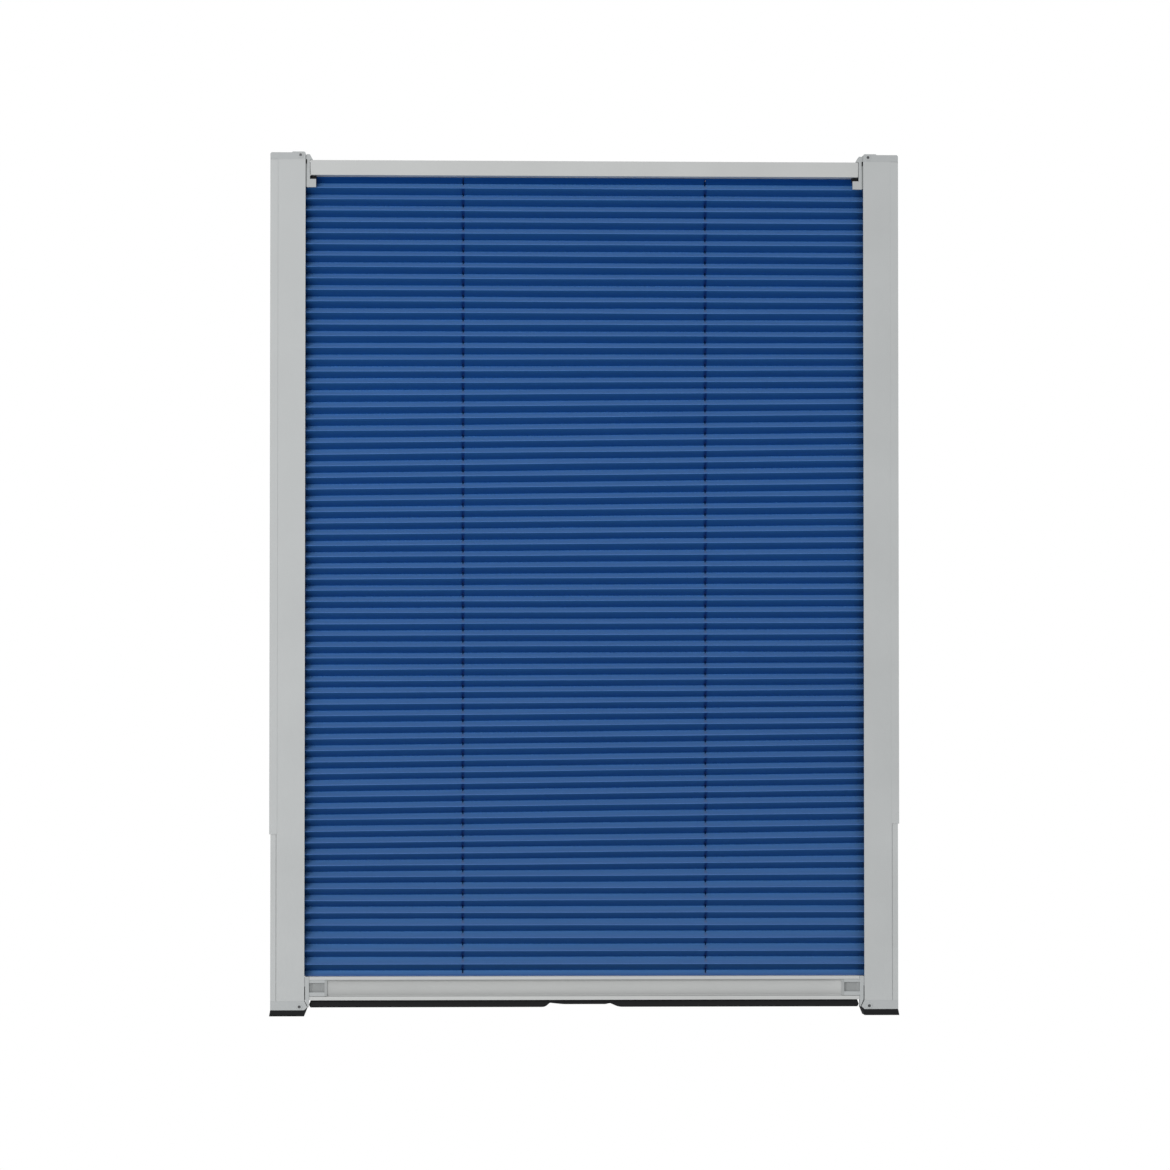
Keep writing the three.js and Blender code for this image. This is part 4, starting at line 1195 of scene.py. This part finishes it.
def bar_end_blocks(side):
    """What the bar's end cap carries: a dark sheet in its pocket and a darker rib that are painted
    shade, a lug, and a dark strip in the gap that is painted shade.
    """
    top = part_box("bottom_bar")[1].z
    pocket_end = POCKET_END - POCKET_WIDENING
    # Painted shade: a dark sheet on the pocket's floor stands for the pocket's shadow
    small_block(
        "pocket_shade_sheet", side, "bar", pocket_shade_plastic,
        across=(pocket_end + CLEARANCE, FLANGE_INNER - CLEARANCE),
        deep=reaching(POCKET_FLOOR, LINER_DEPTH),
        tall=(top - POCKET_BOTTOM + LINER_LOW_RISE, top - POCKET_TOP + LINER_TOP_RISE),
        bends=LINER_BENDS,
    )
    # Painted shade: a darker rib stands for the shadow at the insert's inner end
    small_block(
        "pocket_rib", side, "bar", rib_shade_plastic,
        across=(INSERT_END - RIB_END, pocket_end + RIB_HOLD),
        deep=(INSERT_FRONT - RIB_FRONT, INSERT_BACK + RIB_BACK),
        tall=(top - RECESS_BOTTOM + RIB_LOW_RISE, top - RECESS_TOP + RIB_TOP_RISE),
    )
    small_block(
        "bar_side_lug", side, "bar", end_cap_plastic,
        across=(FLANGE_OUTER - BAR_LUG_HOLD, RAIL_INNER - RAIL_CLEARANCE),
        deep=reaching(BAR_FRONT, BAR_LUG_DEPTH),
        tall=reaching(top, BAR_LUG_HEIGHT),
    )
    # Painted shade: a black strip set back in the gap between the end cap and the rail
    small_block(
        "bar_gap_shade_strip", side, "bar", black_rubber,
        across=(FLANGE_OUTER - HOLD, RAIL_INNER - RAIL_CLEARANCE),
        deep=reaching(BAR_FRONT, BAR_STRIP_DEPTH),
        tall=(top - BAR_HEIGHT + BAR_STRIP_RISE, top + BAR_LUG_HEIGHT[0]),
    )


def end_bracket(side):
    """The top rail's end bracket, with its joint to the top rail a little farther out."""
    node = f"{side}_end_bracket"
    bm = merged_copy(node)
    for vert in bm.verts:
        for old in (BRACKET_INNER, TAB_END):
            if near(abs(vert.co.x), old):
                vert.co.x = SIDES[side] * (old + JOINT_SHIFT)
    round_edges(bm, "end_bracket")
    stand_in(bm, node)


def bracket_blocks(side):
    """What the bracket carries: a lug that meets the cap, and dark pieces that are painted shade: a
    strip and a pad in the slit, and a block above the tab.
    """
    node = f"{side}_end_bracket"
    gap = (BRACKET_OUTER - HOLD, RAIL_INNER - CLEARANCE)
    small_block(
        "bracket_lug", side, "frame", cap_plastic,
        across=(BRACKET_OUTER - BRACKET_LUG_HOLD, RAIL_INNER - RAIL_CLEARANCE),
        deep=reaching(BRACKET_FRONT, BRACKET_LUG_DEPTH),
        tall=reaching(RAIL_TOP, BRACKET_LUG_HEIGHT),
    )
    # Painted shade: a dark grey strip in the slit between bracket and rail
    small_block(
        "bracket_gap_shade_strip", side, "frame", gap_shade_plastic,
        across=gap,
        deep=reaching(BRACKET_FRONT, BRACKET_STRIP_DEPTH),
        tall=(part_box(node)[0].z + BRACKET_STRIP_RISE, RAIL_TOP + BRACKET_STRIP_RISE),
    )
    # Painted shadow: a black pad at the slit's top
    small_block(
        "bracket_gap_shadow_pad", side, "frame", black_rubber,
        across=gap,
        deep=reaching(BRACKET_FRONT, BRACKET_PAD_DEPTH),
        tall=reaching(RAIL_TOP, BRACKET_PAD_HEIGHT),
    )
    # Painted shadow: a black block in the gap between the tab and the top rail
    small_block(
        "tab_shadow_block", side, "frame", black_rubber,
        across=(TAB_END + SHADOW_BLOCK_END, BRACKET_INNER + SHADOW_BLOCK_HOLD),
        deep=SHADOW_BLOCK_DEPTH,
        tall=SHADOW_BLOCK_HEIGHT,
    )


def top_rail():
    """The top rail, with a joint line at each end."""
    bm = merged_copy("top_rail")
    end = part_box("top_rail")[1].x
    for vert in bm.verts:
        if near(abs(vert.co.x), end):
            vert.co.x += math.copysign(JOINT_SHIFT - JOINT_LINE, vert.co.x)
        if near(vert.co.z, TOP_RAIL_LOW) and near(vert.co.y, TOP_RAIL_FRONT):
            vert.co.z += FRONT_LIP_RISE
    round_edges(bm, "top_rail")
    stand_in(bm, "top_rail")


def foot_pad(side):
    """The rubber foot pad, with a slightly crowned front."""
    node = f"{side}_foot_pad"
    bm = merged_copy(node)
    low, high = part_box(node)
    for vert in bm.verts:
        if near(vert.co.y, RAIL_FRONT):
            vert.co.y += PAD_SINK
    crowned(bm, RAIL_FRONT + PAD_SINK, low.z, high.z, PAD_CROWN, PAD_CUTS)
    round_edges(bm, "foot_pad")
    stand_in(bm, node)


def seal_strip():
    """The seal: a rubber strip with pointed ends, and a notch with one long slope."""
    low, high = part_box("seal_strip")
    half, bottom = high.x, low.z
    heights = (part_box("bottom_bar")[0].z - SEAL_GAP, bottom + SEAL_POINT_RISE, bottom)
    left = zip((-half + inset for inset in SEAL_LEFT_INSETS), heights, SEAL_END_RADII)
    right = zip((half - inset for inset in SEAL_RIGHT_INSETS), heights, SEAL_END_RADII)
    notch = [(x, bottom + rise, radius) for x, rise, radius in SEAL_NOTCH]
    corners = [*left, *notch, *reversed(list(right))]
    bm = bmesh.new()
    verts = [bm.verts.new((x, low.y, z)) for x, z, _ in corners]
    bm.faces.new(verts)
    for vert, (_, _, radius) in zip(verts, corners):
        bmesh.ops.bevel(
            bm,
            geom=[vert],
            offset=radius,
            offset_type="OFFSET",
            affect="VERTICES",
            segments=SEAL_CORNER_STEPS,
            profile=0.5,
            clamp_overlap=True,
            material=-1,
        )
    made = bmesh.ops.extrude_face_region(bm, geom=bm.faces[:])["geom"]
    fresh = [part for part in made if isinstance(part, bmesh.types.BMVert)]
    bmesh.ops.translate(bm, verts=fresh, vec=(0, high.y - low.y, 0))
    bmesh.ops.recalc_face_normals(bm, faces=bm.faces)
    round_edges(bm, "seal_strip", steepest=SEAL_SHARP_ANGLE)
    stand_in(bm, "seal_strip")


def bottom_strip():
    """The strip that holds the fabric in the bar, with its web flush with the bar's top."""
    node = "fabric_bottom_strip"
    bm = merged_copy(node)
    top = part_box(node)[1].z
    for vert in bm.verts:
        if near(vert.co.z, top):
            vert.co.z -= BAR_TOP_DROP
    round_edges(bm, node)
    stand_in(bm, node)


def softened(side, kind, joints=()):
    """A CAD node's shape with rounded edges."""
    bm = merged_copy(f"{side}_{kind}")
    round_edges(bm, kind, joints=joints)
    stand_in(bm, f"{side}_{kind}")


def hard_pieces():
    """The hard parts' visible shapes, and better finishes on the CAD nodes that stay."""
    for side in SIDES:
        side_rail(side)
        trim_strip(side)
        end_bracket(side)
        bracket_blocks(side)
        bar_end_cap(side)
        bar_end_blocks(side)
        foot_pad(side)
        softened(side, "top_cap", joints=(RAIL_TOP + CAP_GAP,))
        softened(side, "bottom_cap", joints=(RAIL_BOTTOM - CAP_GAP,))
        softened(side, "guide_shoe")
    top_rail()
    bottom_bar()
    bottom_strip()
    seal_strip()
    for node, piece in frame["nodes"].items():
        if not piece.hide_render:
            piece.material_slots[0].material = finish_of(node)


# Floor and light

def floor():
    """A plain pale floor below the hanging blind."""
    bm = bmesh.new()
    bmesh.ops.create_grid(bm, x_segments=1, y_segments=1, size=FLOOR_SIZE)
    bmesh.ops.translate(bm, verts=bm.verts, vec=(0, 0, FLOOR_LEVEL))
    pale = plain_finish("pale_floor", FLOOR_WHITE, roughness=0.8, grain=2.0)
    new_object("floor", bm, pale)


def light_panel(name, place, size, power):
    """A soft rectangular light that shines at the middle of the blind."""
    lamp = bpy.data.lights.new(name, "AREA")
    lamp.shape = "RECTANGLE"
    lamp.size, lamp.size_y = size
    lamp.energy = power
    made = bpy.data.objects.new(name, lamp)
    bpy.context.scene.collection.objects.link(made)
    made.location = place
    way = Vector(LIGHT_AIM) - Vector(place)
    made.rotation_euler = way.to_track_quat("-Z", "Y").to_euler()


def surroundings():
    """A white room: bright to look at, dimmer as a light, and dimmer below than above."""
    world = bpy.data.worlds.new("room")
    bpy.context.scene.world = world
    world.use_nodes = True
    tree = world.node_tree
    tree.nodes.clear()
    way = add_node(tree, "ShaderNodeTexCoord").outputs["Generated"]
    height = add_node(tree, "ShaderNodeSeparateXYZ", {"Vector": way}).outputs["Z"]
    spread = {"Value": height, "From Min": -1.0, "From Max": 1.0}
    spread.update({"To Min": ROOM_LOW, "To Max": ROOM_HIGH})
    level = add_node(tree, "ShaderNodeMapRange", spread).outputs["Result"]
    glow = {"Color": (*ROOM_TINT, 1.0), "Strength": level}
    light = add_node(tree, "ShaderNodeBackground", glow).outputs[0]
    plain = {"Color": (*WHITE, 1.0), "Strength": 1.0}
    white = add_node(tree, "ShaderNodeBackground", plain).outputs[0]
    seen = add_node(tree, "ShaderNodeLightPath").outputs["Is Camera Ray"]
    mixed = add_node(tree, "ShaderNodeMixShader", {0: seen, 1: light, 2: white})
    out = add_node(tree, "ShaderNodeOutputWorld")
    tree.links.new(mixed.outputs[0], out.inputs["Surface"])


set_camera()
cords()
pleated_fabric()
hard_pieces()
floor()
surroundings()
light_panel("key_light", **KEY_LIGHT)
light_panel("side_light", **SIDE_LIGHT)
bpy.context.scene.view_settings.view_transform = "Standard"
